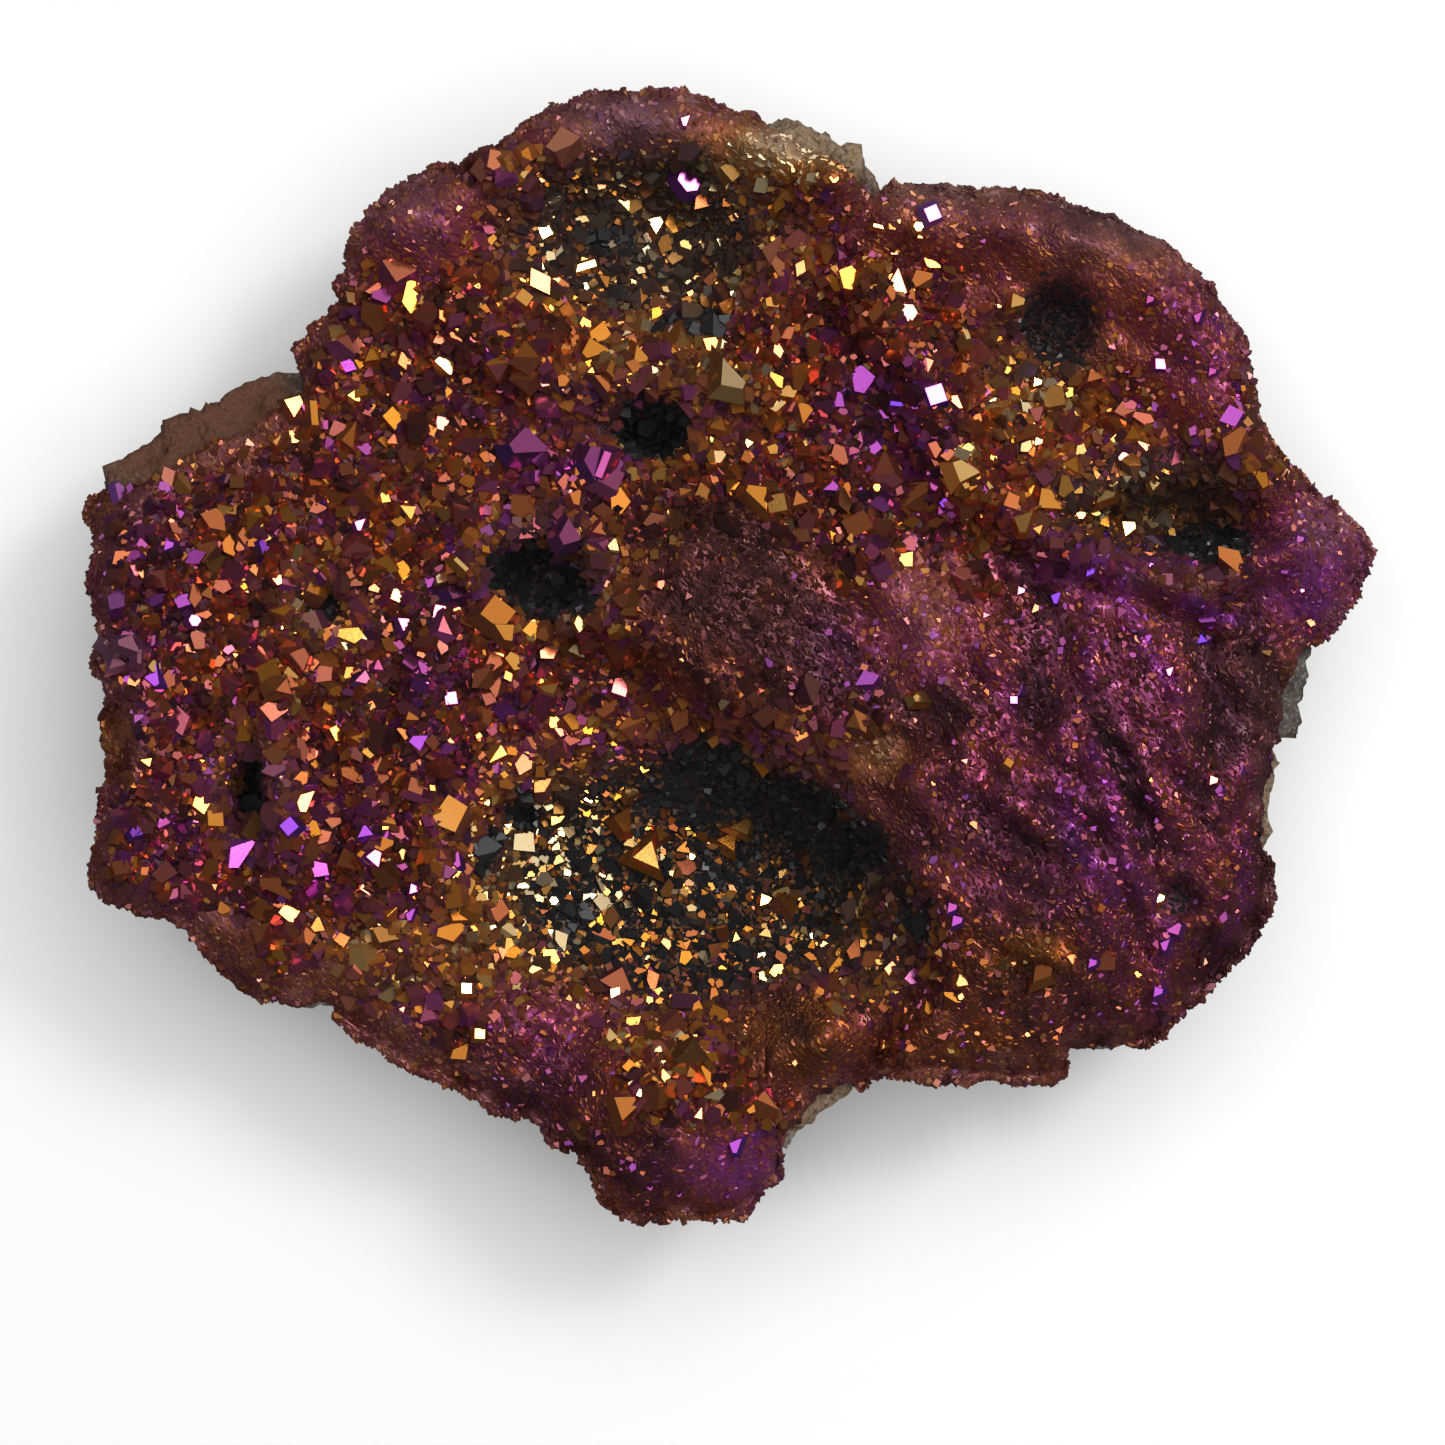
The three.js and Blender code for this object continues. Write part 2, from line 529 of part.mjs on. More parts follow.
// The rock: a top that follows the crust's underside, broken sides and a flat base.
function buildMatrix() {
  const shell = new Shell();
  const rockRandom = seededRandom(5);
  const topVertices = undersidePoints.map(([x, y], i) => shell.vertex(x, y, undersideHeights[i] - seam));
  for (const [a, b, c] of undersideTriangles) shell.triangle(topVertices[a], topVertices[b], topVertices[c]);

  const rimCount = rim.length;
  const lipAt = (i) => undersideHeights[(i + rimCount) % rimCount] - seam;
  let upper = crustLip.map((point, i) => ({ place: i, vertex: topVertices[i] }));
  const shoulder = rim.map((point, i) => {
    const [x, y] = moveOut(i, Math.min(0, bare[i] > 0 ? -shoulderInset * (1 - bare[i]) : -shoulderInset));
    return { place: i, vertex: shell.vertex(x, y, lipAt(i) - Math.max(ledgeDrop, bare[i] * bareDrop)) };
  });
  shell.stitch(upper, shoulder, rimCount);
  upper = shoulder;
  for (const { level, out, rough, stride } of rockRings) {
    const lower = [];
    for (let i = 0; i < rimCount - stride / 2; i += stride) {
      let lip = Infinity;
      for (let k = -stride; k <= stride; k += 1) lip = Math.min(lip, lipAt(i + k));
      const [x, y] = moveOut(i, Math.min(0, out + rough * (2 * rockRandom() - 1)));
      const z = (lip - ledgeDrop) * level * (1 + levelWander * (2 * rockRandom() - 1));
      lower.push({ place: i, vertex: shell.vertex(x, y, z) });
    }
    shell.stitch(upper, lower, rimCount);
    upper = lower;
  }

  const basePlan = upper.map(({ vertex }) => {
    return new THREE.Vector2(shell.positions[vertex * 3], shell.positions[vertex * 3 + 1]);
  });
  for (const [a, b, c] of THREE.ShapeUtils.triangulateShape(basePlan, [])) {
    shell.triangle(upper[a].vertex, upper[c].vertex, upper[b].vertex);
  }
  return shell.geometry();
}

function namedMesh(name, geometry, colour, roughness, metalness) {
  const material = new THREE.MeshStandardMaterial({ color: colour, roughness, metalness, flatShading: true });
  const mesh = new THREE.Mesh(geometry, material);
  mesh.name = name;
  return mesh;
}

const specimen = new THREE.Group();
specimen.add(namedMesh('matrix', buildMatrix(), 0x6b5744, 0.85, 0));
specimen.add(namedMesh('crystal_crust', buildCrust(), 0x6a2c4c, 0.2, 0.9));

export default specimen;
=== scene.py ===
import itertools
import math

import bpy
import numpy as np
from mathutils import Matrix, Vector, noise


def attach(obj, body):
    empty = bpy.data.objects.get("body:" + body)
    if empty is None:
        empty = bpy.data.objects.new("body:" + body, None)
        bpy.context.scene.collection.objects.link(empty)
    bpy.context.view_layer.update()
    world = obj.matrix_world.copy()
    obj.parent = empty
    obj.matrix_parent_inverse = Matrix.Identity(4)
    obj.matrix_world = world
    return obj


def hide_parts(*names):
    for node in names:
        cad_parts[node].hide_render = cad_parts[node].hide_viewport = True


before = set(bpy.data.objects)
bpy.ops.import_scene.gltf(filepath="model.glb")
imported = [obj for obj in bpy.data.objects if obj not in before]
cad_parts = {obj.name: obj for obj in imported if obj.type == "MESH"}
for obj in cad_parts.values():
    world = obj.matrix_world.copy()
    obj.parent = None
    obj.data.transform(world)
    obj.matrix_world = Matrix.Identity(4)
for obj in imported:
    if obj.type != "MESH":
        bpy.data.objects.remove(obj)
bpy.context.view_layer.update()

# Plan units: u runs right and v runs down over the slab, 1303 of them to its length.
slab = {
    "length": 0.150,
    "planLength": 1303,
    "planMiddle": (724.5, 655.5),
    "planHub": (700, 620),      # the outline is star-shaped about this point
    "meanHeight": 0.027,
    "rollWidth": 44,            # plan units over which the crust rolls down to its rim
    "rollDrop": 0.0026,
    "fineRoll": 0.0024,         # how much further the finely grown lobes roll down
    "fineRollWidth": 85,
}
unit = slab["length"] / slab["planLength"]
millimetre = 0.001

rimPlan = [
    (73, 508), (82, 495), (100, 477), (125, 460), (150, 441), (170, 428), (190, 421), (208, 417),
    (225, 400), (245, 387), (262, 384), (285, 366), (293, 361), (292, 347), (300, 339), (312, 339),
    (310, 329), (322, 317), (335, 310), (340, 296), (333, 280), (352, 268), (343, 256), (352, 238),
    (368, 215), (382, 201), (405, 182), (430, 168), (445, 161), (467, 171), (475, 157), (500, 149),
    (518, 139), (526, 124), (541, 117), (550, 106), (575, 104), (583, 94), (617, 93), (640, 92),
    (665, 90), (690, 93), (715, 105), (740, 114), (765, 113), (790, 116), (830, 136), (852, 153),
    (876, 172), (878, 187), (910, 185), (945, 186), (980, 191), (1008, 188), (1040, 193), (1066, 202),
    (1100, 214), (1128, 223), (1138, 232), (1160, 240), (1176, 251), (1190, 268), (1205, 281),
    (1218, 297), (1230, 315), (1247, 340), (1247, 370), (1253, 400), (1257, 425), (1272, 450),
    (1297, 468), (1320, 490), (1350, 512), (1365, 532), (1376, 553), (1368, 570), (1361, 590),
    (1345, 612), (1333, 630), (1319, 658), (1315, 680), (1306, 695), (1304, 720), (1296, 741),
    (1288, 745), (1286, 770), (1281, 790), (1276, 840), (1273, 860), (1275, 885), (1271, 915),
    (1258, 937), (1244, 952), (1225, 975), (1201, 998), (1184, 1014), (1166, 1036), (1140, 1049),
    (1105, 1053), (1076, 1055), (1067, 1074), (1050, 1082), (1028, 1078), (1014, 1085), (996, 1073),
    (964, 1079), (925, 1075), (882, 1069), (868, 1080), (860, 1096), (842, 1104), (820, 1113),
    (802, 1136), (782, 1153), (776, 1160), (781, 1178), (764, 1188), (756, 1205), (742, 1216),
    (708, 1221), (686, 1216), (662, 1220), (640, 1221), (612, 1213), (598, 1203), (595, 1188),
    (588, 1166), (576, 1147), (548, 1143), (541, 1123), (528, 1114), (511, 1120), (492, 1110),
    (472, 1096), (452, 1084), (420, 1074), (398, 1062), (380, 1045), (358, 1037), (335, 1018),
    (312, 1006), (286, 1016), (262, 1003), (225, 974), (207, 948), (178, 917), (145, 913),
    (106, 901), (90, 876), (93, 852), (100, 832), (98, 812), (105, 785), (112, 762), (104, 738),
    (96, 712), (114, 698), (104, 686), (106, 677), (91, 665), (93, 654), (104, 645), (106, 630),
    (96, 610), (90, 580), (98, 548), (90, 526),
]

# Relief: places and reaches in plan units, rises in millimetres.
relief = {
    "humps": [
        ((402, 215), (85, 66), 6), ((1322, 570), (84, 90), 3), ((1075, 790), (300, 300), 8),
        ((725, 600), (160, 140), 3), ((668, 1120), (155, 125), 8), ((812, 1035), (90, 60), 3),
        ((85, 505), (110, 70), -5), ((170, 560), (150, 120), 2.5), ((770, 865), (150, 115), -5),
        ((1005, 355), (75, 62), -4), ((1105, 410), (100, 78), -5), ((925, 702), (38, 26), -1.3),
        ((1216, 955), (42, 42), -1.2), ((1205, 300), (40, 70), 1.0), ((1090, 245), (70, 30), 0.8),
    ],
    "bowls": [
        ((640, 245), (135, 105), -7), ((705, 885), (285, 190), -9), ((1178, 520), (118, 50), -8),
        ((1064, 318), (48, 48), -7.5), ((650, 425), (52, 46), -7), ((537, 580), (70, 52), -10),
        ((243, 795), (28, 56), -6), ((320, 605), (30, 28), -4), ((505, 822), (40, 36), -3.5),
        ((1180, 900), (30, 28), -4), ((885, 752), (45, 36), -2.5),
    ],
    "bowlFloor": 0.4,           # share of a bowl's reach that lies flat
    "ridges": [
        ([(470, 180), (530, 138), (600, 112), (680, 112), (760, 140), (830, 180)], 52, 6),
        ([(835, 185), (805, 250), (775, 320)], 46, 4),
        ([(450, 320), (560, 372), (680, 386), (770, 378)], 50, 4),
        ([(900, 212), (1000, 216), (1100, 242), (1180, 295), (1218, 365), (1232, 420), (1262, 470)], 62, 6),
        ([(868, 288), (900, 340), (930, 402), (968, 485)], 44, 6),
        ([(1000, 508), (1060, 548), (1130, 574), (1205, 588), (1290, 548)], 30, 4.5),
        ([(868, 560), (930, 612), (962, 700)], 50, 3),
        ([(118, 520), (122, 620), (126, 720), (124, 820), (122, 872), (235, 950)], 62, 3.5),
        ([(276, 690), (282, 780), (292, 880)], 32, 4),
        ([(362, 690), (366, 800), (372, 900)], 32, 2.5),
        ([(432, 630), (426, 760), (442, 880)], 42, 3),
    ],
    "cliff": [(590, 632), (655, 655), (705, 702), (760, 738), (805, 782), (872, 838), (930, 905),
              (942, 968), (905, 1040)],
    "cliffEdge": 17,
    "cliffReach": 210,
    "cliffRise": 6,
    "rippled": ((1095, 800), (330, 310)),
    "rippleRise": 0.9,
    "broadSwell": 0.55,         # low swells of the whole ground
    "narrowSwell": 0.35,
    "ribRise": 0.9,
    "ribSize": (30, 85),        # across and along, in plan units
}

# Crests and folds of the right-hand lobe: line, half width, rise in millimetres, painted shade (a painted
# highlight below 0), film shift.
streaks = [
    ([(868, 555), (905, 610), (938, 685)], 36, 1.5, -0.45, 0.06),
    ([(948, 545), (962, 600), (985, 650), (1015, 735)], 19, 1.3, -0.5, 0.04),
    ([(958, 740), (1002, 812)], 15, 0.9, -0.4, 0.0),
    ([(1120, 590), (1140, 640), (1172, 690)], 18, 1.3, -0.5, 0.12),
    ([(1094, 600), (1088, 680)], 15, 0.9, -0.4, 0.08),
    ([(1088, 745), (1108, 800), (1130, 870), (1150, 900)], 19, 1.3, -0.45, 0.08),
    ([(1062, 790), (1075, 850), (1110, 890)], 21, 1.0, -0.4, 0.12),
    ([(1155, 790), (1180, 825), (1205, 850), (1222, 895)], 21, 1.3, -0.5, 0.0),
    ([(915, 860), (950, 905)], 19, 0.9, -0.5, 0.0),
    ([(1168, 925), (1163, 970), (1168, 1020)], 17, 1.2, -0.6, 0.14),
    ([(1085, 940), (1130, 1000), (1150, 1030)], 14, 0.8, -0.3, 0.0),
    ([(1245, 840), (1250, 900), (1225, 950)], 20, 0.8, -0.3, 0.12),
    ([(1185, 602), (1240, 622)], 14, 0.6, -0.2, 0.22),
    ([(1182, 665), (1174, 725)], 14, 0.8, -0.3, 0.0),
    ([(1030, 560), (1050, 640), (1035, 720)], 32, -1.6, 0.5, 0.04),
    ([(1098, 730), (1135, 790), (1150, 850)], 19, -1.8, 0.6, 0.04),
    ([(985, 815), (1040, 880)], 38, -1.3, 0.4, 0.04),
    ([(1200, 640), (1225, 720), (1210, 780)], 34, -1.6, 0.45, 0.0),
    ([(890, 790), (930, 840)], 24, -1.0, 0.35, 0.0),
]


def smooth(value, low, high):
    t = np.clip((value - low) / (high - low), 0, 1)
    return t * t * (3 - 2 * t)


def bump(t):
    return np.where(t < 1, (1 - t * t) ** 2, 0)


def ellipseDistance(u, v, at, reach):
    return np.hypot((u - at[0]) / reach[0], (v - at[1]) / reach[1])


def noiseOf(points, octaves):
    return np.array([noise.fractal(point, 0.9, 2.1, octaves) for point in points.tolist()])


# Distance from points to a polyline, and the side they lie on (1 is left of its way).
def lineDistance(u, v, line, closed=False):
    best = np.full(u.shape, 1e9)
    side = np.ones(u.shape)
    ends = line[1:] + line[:1] if closed else line[1:]
    for (au, av), (bu, bv) in zip(line, ends):
        du, dv = bu - au, bv - av
        t = np.clip(((u - au) * du + (v - av) * dv) / (du * du + dv * dv), 0, 1)
        distance = np.hypot(u - au - t * du, v - av - t * dv)
        nearer = distance < best
        side = np.where(nearer, np.where(du * (v - av) - dv * (u - au) > 0, -1, 1), side)
        best = np.where(nearer, distance, best)
    return best, side


# Swells about 100 and 60 plan units long.
def lumps(u, v):
    broad = np.sin(u * 0.061 + 1.7 * np.sin(v * 0.023 + 0.4)) * np.sin(v * 0.052 + 1.1)
    narrow = np.sin(u * 0.113 - v * 0.047 + 2.1) * np.sin(v * 0.097 + u * 0.031)
    return relief["broadSwell"] * broad + relief["narrowSwell"] * narrow


# Folds that run down the right-hand lobe, 60 degrees from its length.
def ripples(u, v):
    along, across = u * 0.5 + v * 0.87, u * 0.87 - v * 0.5
    fold = np.sin(across * 0.118 + 1.3 * np.sin(along * 0.043))
    strength = 0.6 + 0.4 * np.sin(along * 0.071 + 0.8)
    return relief["rippleRise"] * fold * strength * bump(ellipseDistance(u, v, *relief["rippled"]))


# Stretches of rim where the crust stops short of the rock: place, half length, width in millimetres.
bareStretches = [
    ((190, 428), 128, 5.2), ((825, 138), 80, 2.6), ((1306, 690), 62, 3.0), ((1280, 795), 70, 2.2),
    ((815, 1122), 58, 2.4), ((292, 1010), 42, 1.4), ((1105, 1052), 40, 1.2),
]
# Stretches of rim where the crystals shrink to a dull, fine-grained band.
bandStretches = [
    ((92, 570), 90, 2.4), ((104, 735), 62, 4.2), ((115, 885), 85, 2.4), ((255, 985), 105, 5.2),
    ((430, 1075), 125, 3.8), ((300, 345), 46, 1.8), ((1000, 1075), 150, 2.4), ((240, 400), 90, 3.0),
]


def stretchWidth(stretches, u, v, least=0.0):
    width = np.full(u.shape, least)
    for at, halfLength, depth in stretches:
        away = np.hypot(u - at[0], v - at[1]) / halfLength
        width = np.maximum(width, depth * (1 - smooth(away, 0.75, 1)))
    return width


# Fine druse: place and reach.
finePatches = [
    ((1100, 800), (330, 300)), ((1150, 270), (230, 110)), ((950, 215), (150, 60)), ((405, 212), (95, 80)),
    ((660, 105), (200, 55)), ((680, 1175), (150, 68)), ((550, 1075), (92, 100)), ((815, 1045), (95, 70)),
    ((1050, 1045), (180, 60)), ((735, 600), (120, 98)), ((828, 640), (60, 80)), ((915, 640), (70, 95)),
    ((700, 668), (60, 42)), ((1195, 350), (55, 110)), ((1330, 560), (110, 120)), ((106, 738), (30, 50)),
    ((800, 150), (92, 40)),
]
# How a patch of druse fades into coarse crystals, in shares of its reach.
fineEdge = {"wander": 0.3, "inner": 0.7, "outer": 1.05}
# The foot of the bowl's wall, where the coarse crystals run on. wall is across the cliff, in plan units.
bowlFoot = {"at": (850, 890), "reach": (110, 125), "wall": (-6, 12)}
# Smooth druse with hardly a sparkle: place, reach, strength.
calmPatches = [
    ((1065, 240), (120, 62), 1), ((1140, 262), (60, 44), 1), ((1190, 579), (85, 24), 1),
    ((790, 1042), (90, 66), 1), ((1180, 640), (66, 60), 0.6), ((885, 755), (50, 44), 0.8),
    ((745, 600), (130, 110), 0.75), ((1230, 690), (80, 90), 0.6), ((1150, 1000), (90, 50), 0.3),
]
# Velvety stretches that take a soft, pale bloom: place, reach, strength.
softPatches = [
    ((1165, 330), (110, 120), 0.4), ((930, 400), (80, 120), 0.4), ((660, 112), (150, 60), 0.6),
    ((730, 1165), (70, 50), 0.6), ((1330, 560), (80, 80), 0.45), ((1120, 572), (110, 60), 0.4),
    ((405, 215), (100, 80), 0.5), ((1000, 220), (150, 60), 0.3), ((910, 610), (70, 90), 0.4),
]
# Where crystals turn a face to the light: place, reach, share of the crystals.
goldGlints = [
    ((555, 790), (105, 90), 0.32), ((530, 885), (100, 110), 0.30), ((650, 900), (110, 100), 0.15),
    ((640, 830), (50, 50), 0.15), ((770, 925), (140, 90), 0.15), ((640, 1040), (80, 90), 0.08),
    ((640, 250), (180, 110), 0.09), ((640, 355), (150, 50), 0.11), ((700, 210), (60, 40), 0.14),
    ((480, 340), (160, 110), 0.08), ((400, 460), (170, 110), 0.06), ((260, 480), (140, 90), 0.05),
    ((300, 620), (190, 150), 0.05), ((300, 800), (190, 150), 0.05), ((440, 940), (120, 80), 0.10),
    ((570, 650), (120, 50), 0.18), ((760, 480), (110, 80), 0.05), ((1030, 390), (110, 90), 0.10),
    ((1130, 490), (110, 50), 0.13), ((1000, 470), (80, 60), 0.09), ((960, 1020), (160, 80), 0.05),
    ((850, 930), (140, 110), 0.17), ((830, 170), (90, 60), 0.07), ((930, 250), (80, 50), 0.06),
    ((800, 155), (90, 42), 0.22),
]
violetGlints = [
    ((150, 600), (110, 180), 0.08), ((400, 700), (130, 220), 0.07), ((280, 800), (160, 160), 0.07),
    ((900, 440), (110, 130), 0.16), ((1100, 590), (120, 90), 0.14), ((910, 610), (90, 110), 0.09),
    ((1000, 780), (240, 200), 0.04), ((1190, 880), (120, 150), 0.08), ((540, 1060), (100, 110), 0.10),
    ((700, 1175), (120, 60), 0.10), ((1190, 340), (70, 110), 0.17), ((1320, 570), (80, 90), 0.05),
    ((660, 130), (120, 60), 0.04), ((440, 480), (160, 110), 0.04), ((930, 890), (60, 90), 0.08),
    ((1010, 1030), (150, 60), 0.06), ((840, 660), (80, 120), 0.10), ((900, 220), (90, 50), 0.05),
]
# The film's colour over the slab: place, reach, shift.
# 0 is pale gold, 0.3 orange, 0.5 crimson, 0.7 purple and 1 blue-violet.
filmField = {
    "start": 0.43,
    "patches": [
        ((1120, 790), (330, 310), 0.125), ((1320, 560), (120, 120), 0.21), ((1215, 330), (90, 150), 0.10),
        ((405, 212), (110, 80), 0.09), ((630, 120), (110, 50), 0.12), ((740, 1170), (80, 70), 0.22),
        ((650, 1160), (70, 60), 0.12), ((540, 1060), (100, 110), 0.12), ((660, 1060), (60, 60), -0.16),
        ((900, 430), (110, 140), 0.15), ((1110, 560), (150, 50), 0.16), ((150, 620), (110, 190), 0.09),
        ((160, 840), (110, 130), 0.10), ((300, 840), (80, 110), 0.11), ((430, 700), (60, 180), 0.14),
        ((560, 470), (130, 120), 0.07), ((740, 600), (160, 130), -0.01), ((560, 870), (170, 150), -0.28),
        ((760, 900), (160, 130), -0.16), ((640, 235), (190, 120), -0.24), ((1060, 400), (120, 90), -0.14),
        ((1150, 510), (130, 55), -0.26), ((650, 350), (180, 70), -0.14), ((1000, 960), (130, 80), -0.08),
        ((790, 1040), (70, 60), -0.14), ((845, 650), (70, 90), 0.14), ((450, 960), (180, 70), -0.10),
        ((320, 640), (80, 80), -0.08), ((960, 465), (30, 40), -0.34), ((960, 1050), (120, 40), -0.08),
        ((150, 560), (90, 120), 0.04), ((880, 755), (50, 36), -0.24), ((1190, 579), (75, 16), -0.10),
        ((1080, 565), (45, 55), 0.06), ((1318, 595), (34, 46), 0.10), ((106, 738), (40, 50), -0.12),
        ((1040, 950), (60, 36), -0.18), ((1270, 460), (50, 40), -0.06), ((1050, 225), (130, 45), 0.06),
        ((520, 700), (40, 34), 0.20), ((1300, 690), (60, 80), -0.04),
        ((805, 150), (105, 50), -0.30), ((740, 160), (110, 60), -0.22), ((850, 935), (90, 80), -0.12),
    ],
}
# Near-black pits, painted dark as the shade deep in them and under the bowl's overhang: place, reach,
# strength.
pits = [
    ((1064, 318), (54, 56), 1), ((650, 425), (58, 47), 1), ((530, 575), (68, 46), 1),
    ((566, 600), (42, 36), 1), ((247, 795), (26, 58), 1), ((318, 607), (24, 28), 0.9),
    ((1218, 540), (58, 32), 1), ((705, 780), (75, 62), 1), ((790, 815), (80, 50), 1),
    ((730, 870), (60, 40), 0.7), ((855, 850), (60, 50), 0.9), ((918, 915), (38, 56), 0.6),
    ((570, 920), (30, 28), 0.8), ((1180, 900), (24, 22), 0.8), ((610, 230), (50, 26), 0.8),
    ((700, 315), (60, 26), 0.7), ((520, 810), (26, 34), 0.8), ((484, 852), (22, 34), 0.7),
]
# Bowls where only the faces turned to the light carry gold, and the others are painted dark as shade.
hollows = [
    ((690, 880), (290, 190), 1), ((640, 225), (190, 120), 0.95), ((1150, 500), (150, 78), 0.9),
    ((1050, 340), (90, 90), 0.7), ((650, 400), (140, 70), 0.5), ((540, 570), (100, 80), 0.8),
    ((250, 790), (60, 90), 0.7), ((320, 610), (60, 60), 0.6), ((450, 960), (180, 70), 0.5),
    ((930, 700), (40, 26), 0.7), ((1180, 895), (40, 36), 0.7), ((880, 920), (70, 110), 0.9),
]
# Duller film: place, reach, strength.
veils = [
    ((785, 140), (115, 48), 0.9), ((630, 120), (120, 55), 0.9), ((950, 190), (150, 60), 0.7),
    ((1120, 230), (140, 70), 0.7), ((925, 600), (70, 90), 0.4), ((405, 200), (90, 60), 0.5),
    ((880, 755), (50, 40), 0.5), ((1200, 580), (90, 26), 0.4), ((1330, 530), (60, 60), 0.4),
    ((118, 652), (40, 24), 1.0), ((1260, 690), (50, 90), 0.3), ((640, 240), (150, 90), 0.3),
]
# Painted shade on the film: place, reach, strength.
paintedShadePatches = [
    ((1080, 800), (350, 340), 0.40), ((740, 600), (195, 175), 0.84), ((1010, 990), (170, 100), 0.30),
    ((830, 690), (110, 90), 0.35), ((1255, 680), (60, 110), 0.80), ((790, 1040), (80, 60), 0.60),
    ((700, 520), (120, 50), 0.3), ((880, 755), (60, 46), 0.5), ((925, 702), (40, 28), 0.4),
    ((1216, 960), (50, 50), 0.3), ((1190, 579), (85, 30), 0.45), ((1060, 225), (170, 55), 0.40),
    ((640, 112), (130, 40), 0.3), ((405, 212), (90, 70), 0.15), ((1330, 530), (70, 50), 0.25),
    ((530, 1070), (110, 90), 0.30), ((640, 1160), (70, 60), 0.45), ((650, 360), (170, 60), 0.2),
    ((930, 700), (90, 40), 0.2),
]


def patchSum(patches, u, v):
    value = np.zeros(u.shape)
    for at, reach, strength in patches:
        value = value + strength * bump(ellipseDistance(u, v, at, reach))
    return value


def patchMost(patches, u, v, low, high):
    value = np.zeros(u.shape)
    for at, reach, strength in patches:
        value = np.maximum(value, strength * (1 - smooth(ellipseDistance(u, v, at, reach), low, high)))
    return value


def fineness(u, v, wander):
    value = np.zeros(u.shape)
    edge = fineEdge["inner"], fineEdge["outer"]
    for at, reach in finePatches:
        away = ellipseDistance(u, v, at, reach) + fineEdge["wander"] * wander
        value = np.maximum(value, 1 - smooth(away, *edge))
    distance, side = lineDistance(u, v, relief["cliff"])
    underWall = 1 - smooth(distance * side, *bowlFoot["wall"])
    foot = 1 - smooth(ellipseDistance(u, v, bowlFoot["at"], bowlFoot["reach"]), *edge)
    return value * (1 - underWall * foot)


# Ribs of druse that run down the slab over the fine lobes, in millimetres.
def ribs(u, v):
    along, across = u * 0.62 + v * 0.78, u * 0.78 - v * 0.62
    width, length = relief["ribSize"]
    points = np.stack([across / width, along / length, np.zeros(u.shape)], -1).reshape(-1, 3)
    return noiseOf(points, 4).reshape(u.shape) * relief["ribRise"]


# Height of the crystal surface, in metres.
def surfaceHeight(u, v, fine):
    height = lumps(u, v) + ripples(u, v) + ribs(u, v) * fine
    for at, reach, rise in relief["humps"]:
        height = height + rise * bump(ellipseDistance(u, v, at, reach))
    for at, reach, rise in relief["bowls"]:
        height = height + rise * (1 - smooth(ellipseDistance(u, v, at, reach), relief["bowlFloor"], 1))
    for line, width, rise in relief["ridges"] + [streak[:3] for streak in streaks]:
        height = height + rise * bump(lineDistance(u, v, line)[0] / width)
    distance, side = lineDistance(u, v, relief["cliff"])
    wall = smooth(distance * side, -relief["cliffEdge"], relief["cliffEdge"])
    height = height + relief["cliffRise"] * wall * bump(distance / relief["cliffReach"])
    toRim = lineDistance(u, v, rimPlan, closed=True)[0]
    roll = slab["rollDrop"] * np.maximum(0, 1 - toRim / slab["rollWidth"]) ** 2
    roll = roll + slab["fineRoll"] * fine * np.maximum(0, 1 - toRim / slab["fineRollWidth"]) ** 2
    return slab["meanHeight"] + height * millimetre - roll


# A plan field is worked out once on a grid, then read anywhere on it.
gridStep = 3
gridU, gridV = np.meshgrid(np.arange(40.0, 1412, gridStep), np.arange(60.0, 1254, gridStep))
lastCell = 1.001        # keeps what lies past the grid just inside its last cell


def readGrid(grid, u, v):
    column = np.clip((u - gridU[0, 0]) / gridStep, 0, grid.shape[1] - lastCell)
    row = np.clip((v - gridV[0, 0]) / gridStep, 0, grid.shape[0] - lastCell)
    i, j = row.astype(int), column.astype(int)
    a, b = row - i, column - j
    top = grid[i, j] * (1 - b) + grid[i, j + 1] * b
    low = grid[i + 1, j] * (1 - b) + grid[i + 1, j + 1] * b
    return top * (1 - a) + low * a


# The painted shade along the streaks, a painted highlight where it is below 0, and how far the film's colour
# shifts.
def streakFilm(u, v):
    shade, shift = np.zeros(u.shape), np.zeros(u.shape)
    for line, width, _, darker, further in streaks:
        crest = bump(lineDistance(u, v, line)[0] / width)
        shade, shift = shade + darker * crest, shift + further * crest
    return shade, shift


fields = {
    "blotch": 26,               # plan units
    "edges": {"pit": (0.35, 1.15), "hollow": (0.55, 1.05), "calm": (0.6, 1.1), "soft": (0.5, 1.2),
              "glint": (0.5, 1.2), "band": (0.6, 1.2)},
    "crustEdge": (0.2, 0.8),    # millimetres in from the crust's rim
    "leastBand": 0.9,
    "bandWander": 0.5,
    "bandVeil": (0.30, 0.5),    # the dull band's veil, and how much it varies
    # Painted shade: the rim's band and the fine lobes are painted darker, rib troughs and some random
    # blotches darker, rib crests and other blotches lighter.
    "bandPaintedShade": 0.3,
    "lobePaintedShade": 0.06,
    "mostPaintedShade": 0.85,
    "ribFilm": 0.03,            # crests of the ribs are golder; ribPaintedShade paints them brighter
    "ribPaintedShade": 0.5,
    "blotchPaintedShade": 0.3,
}

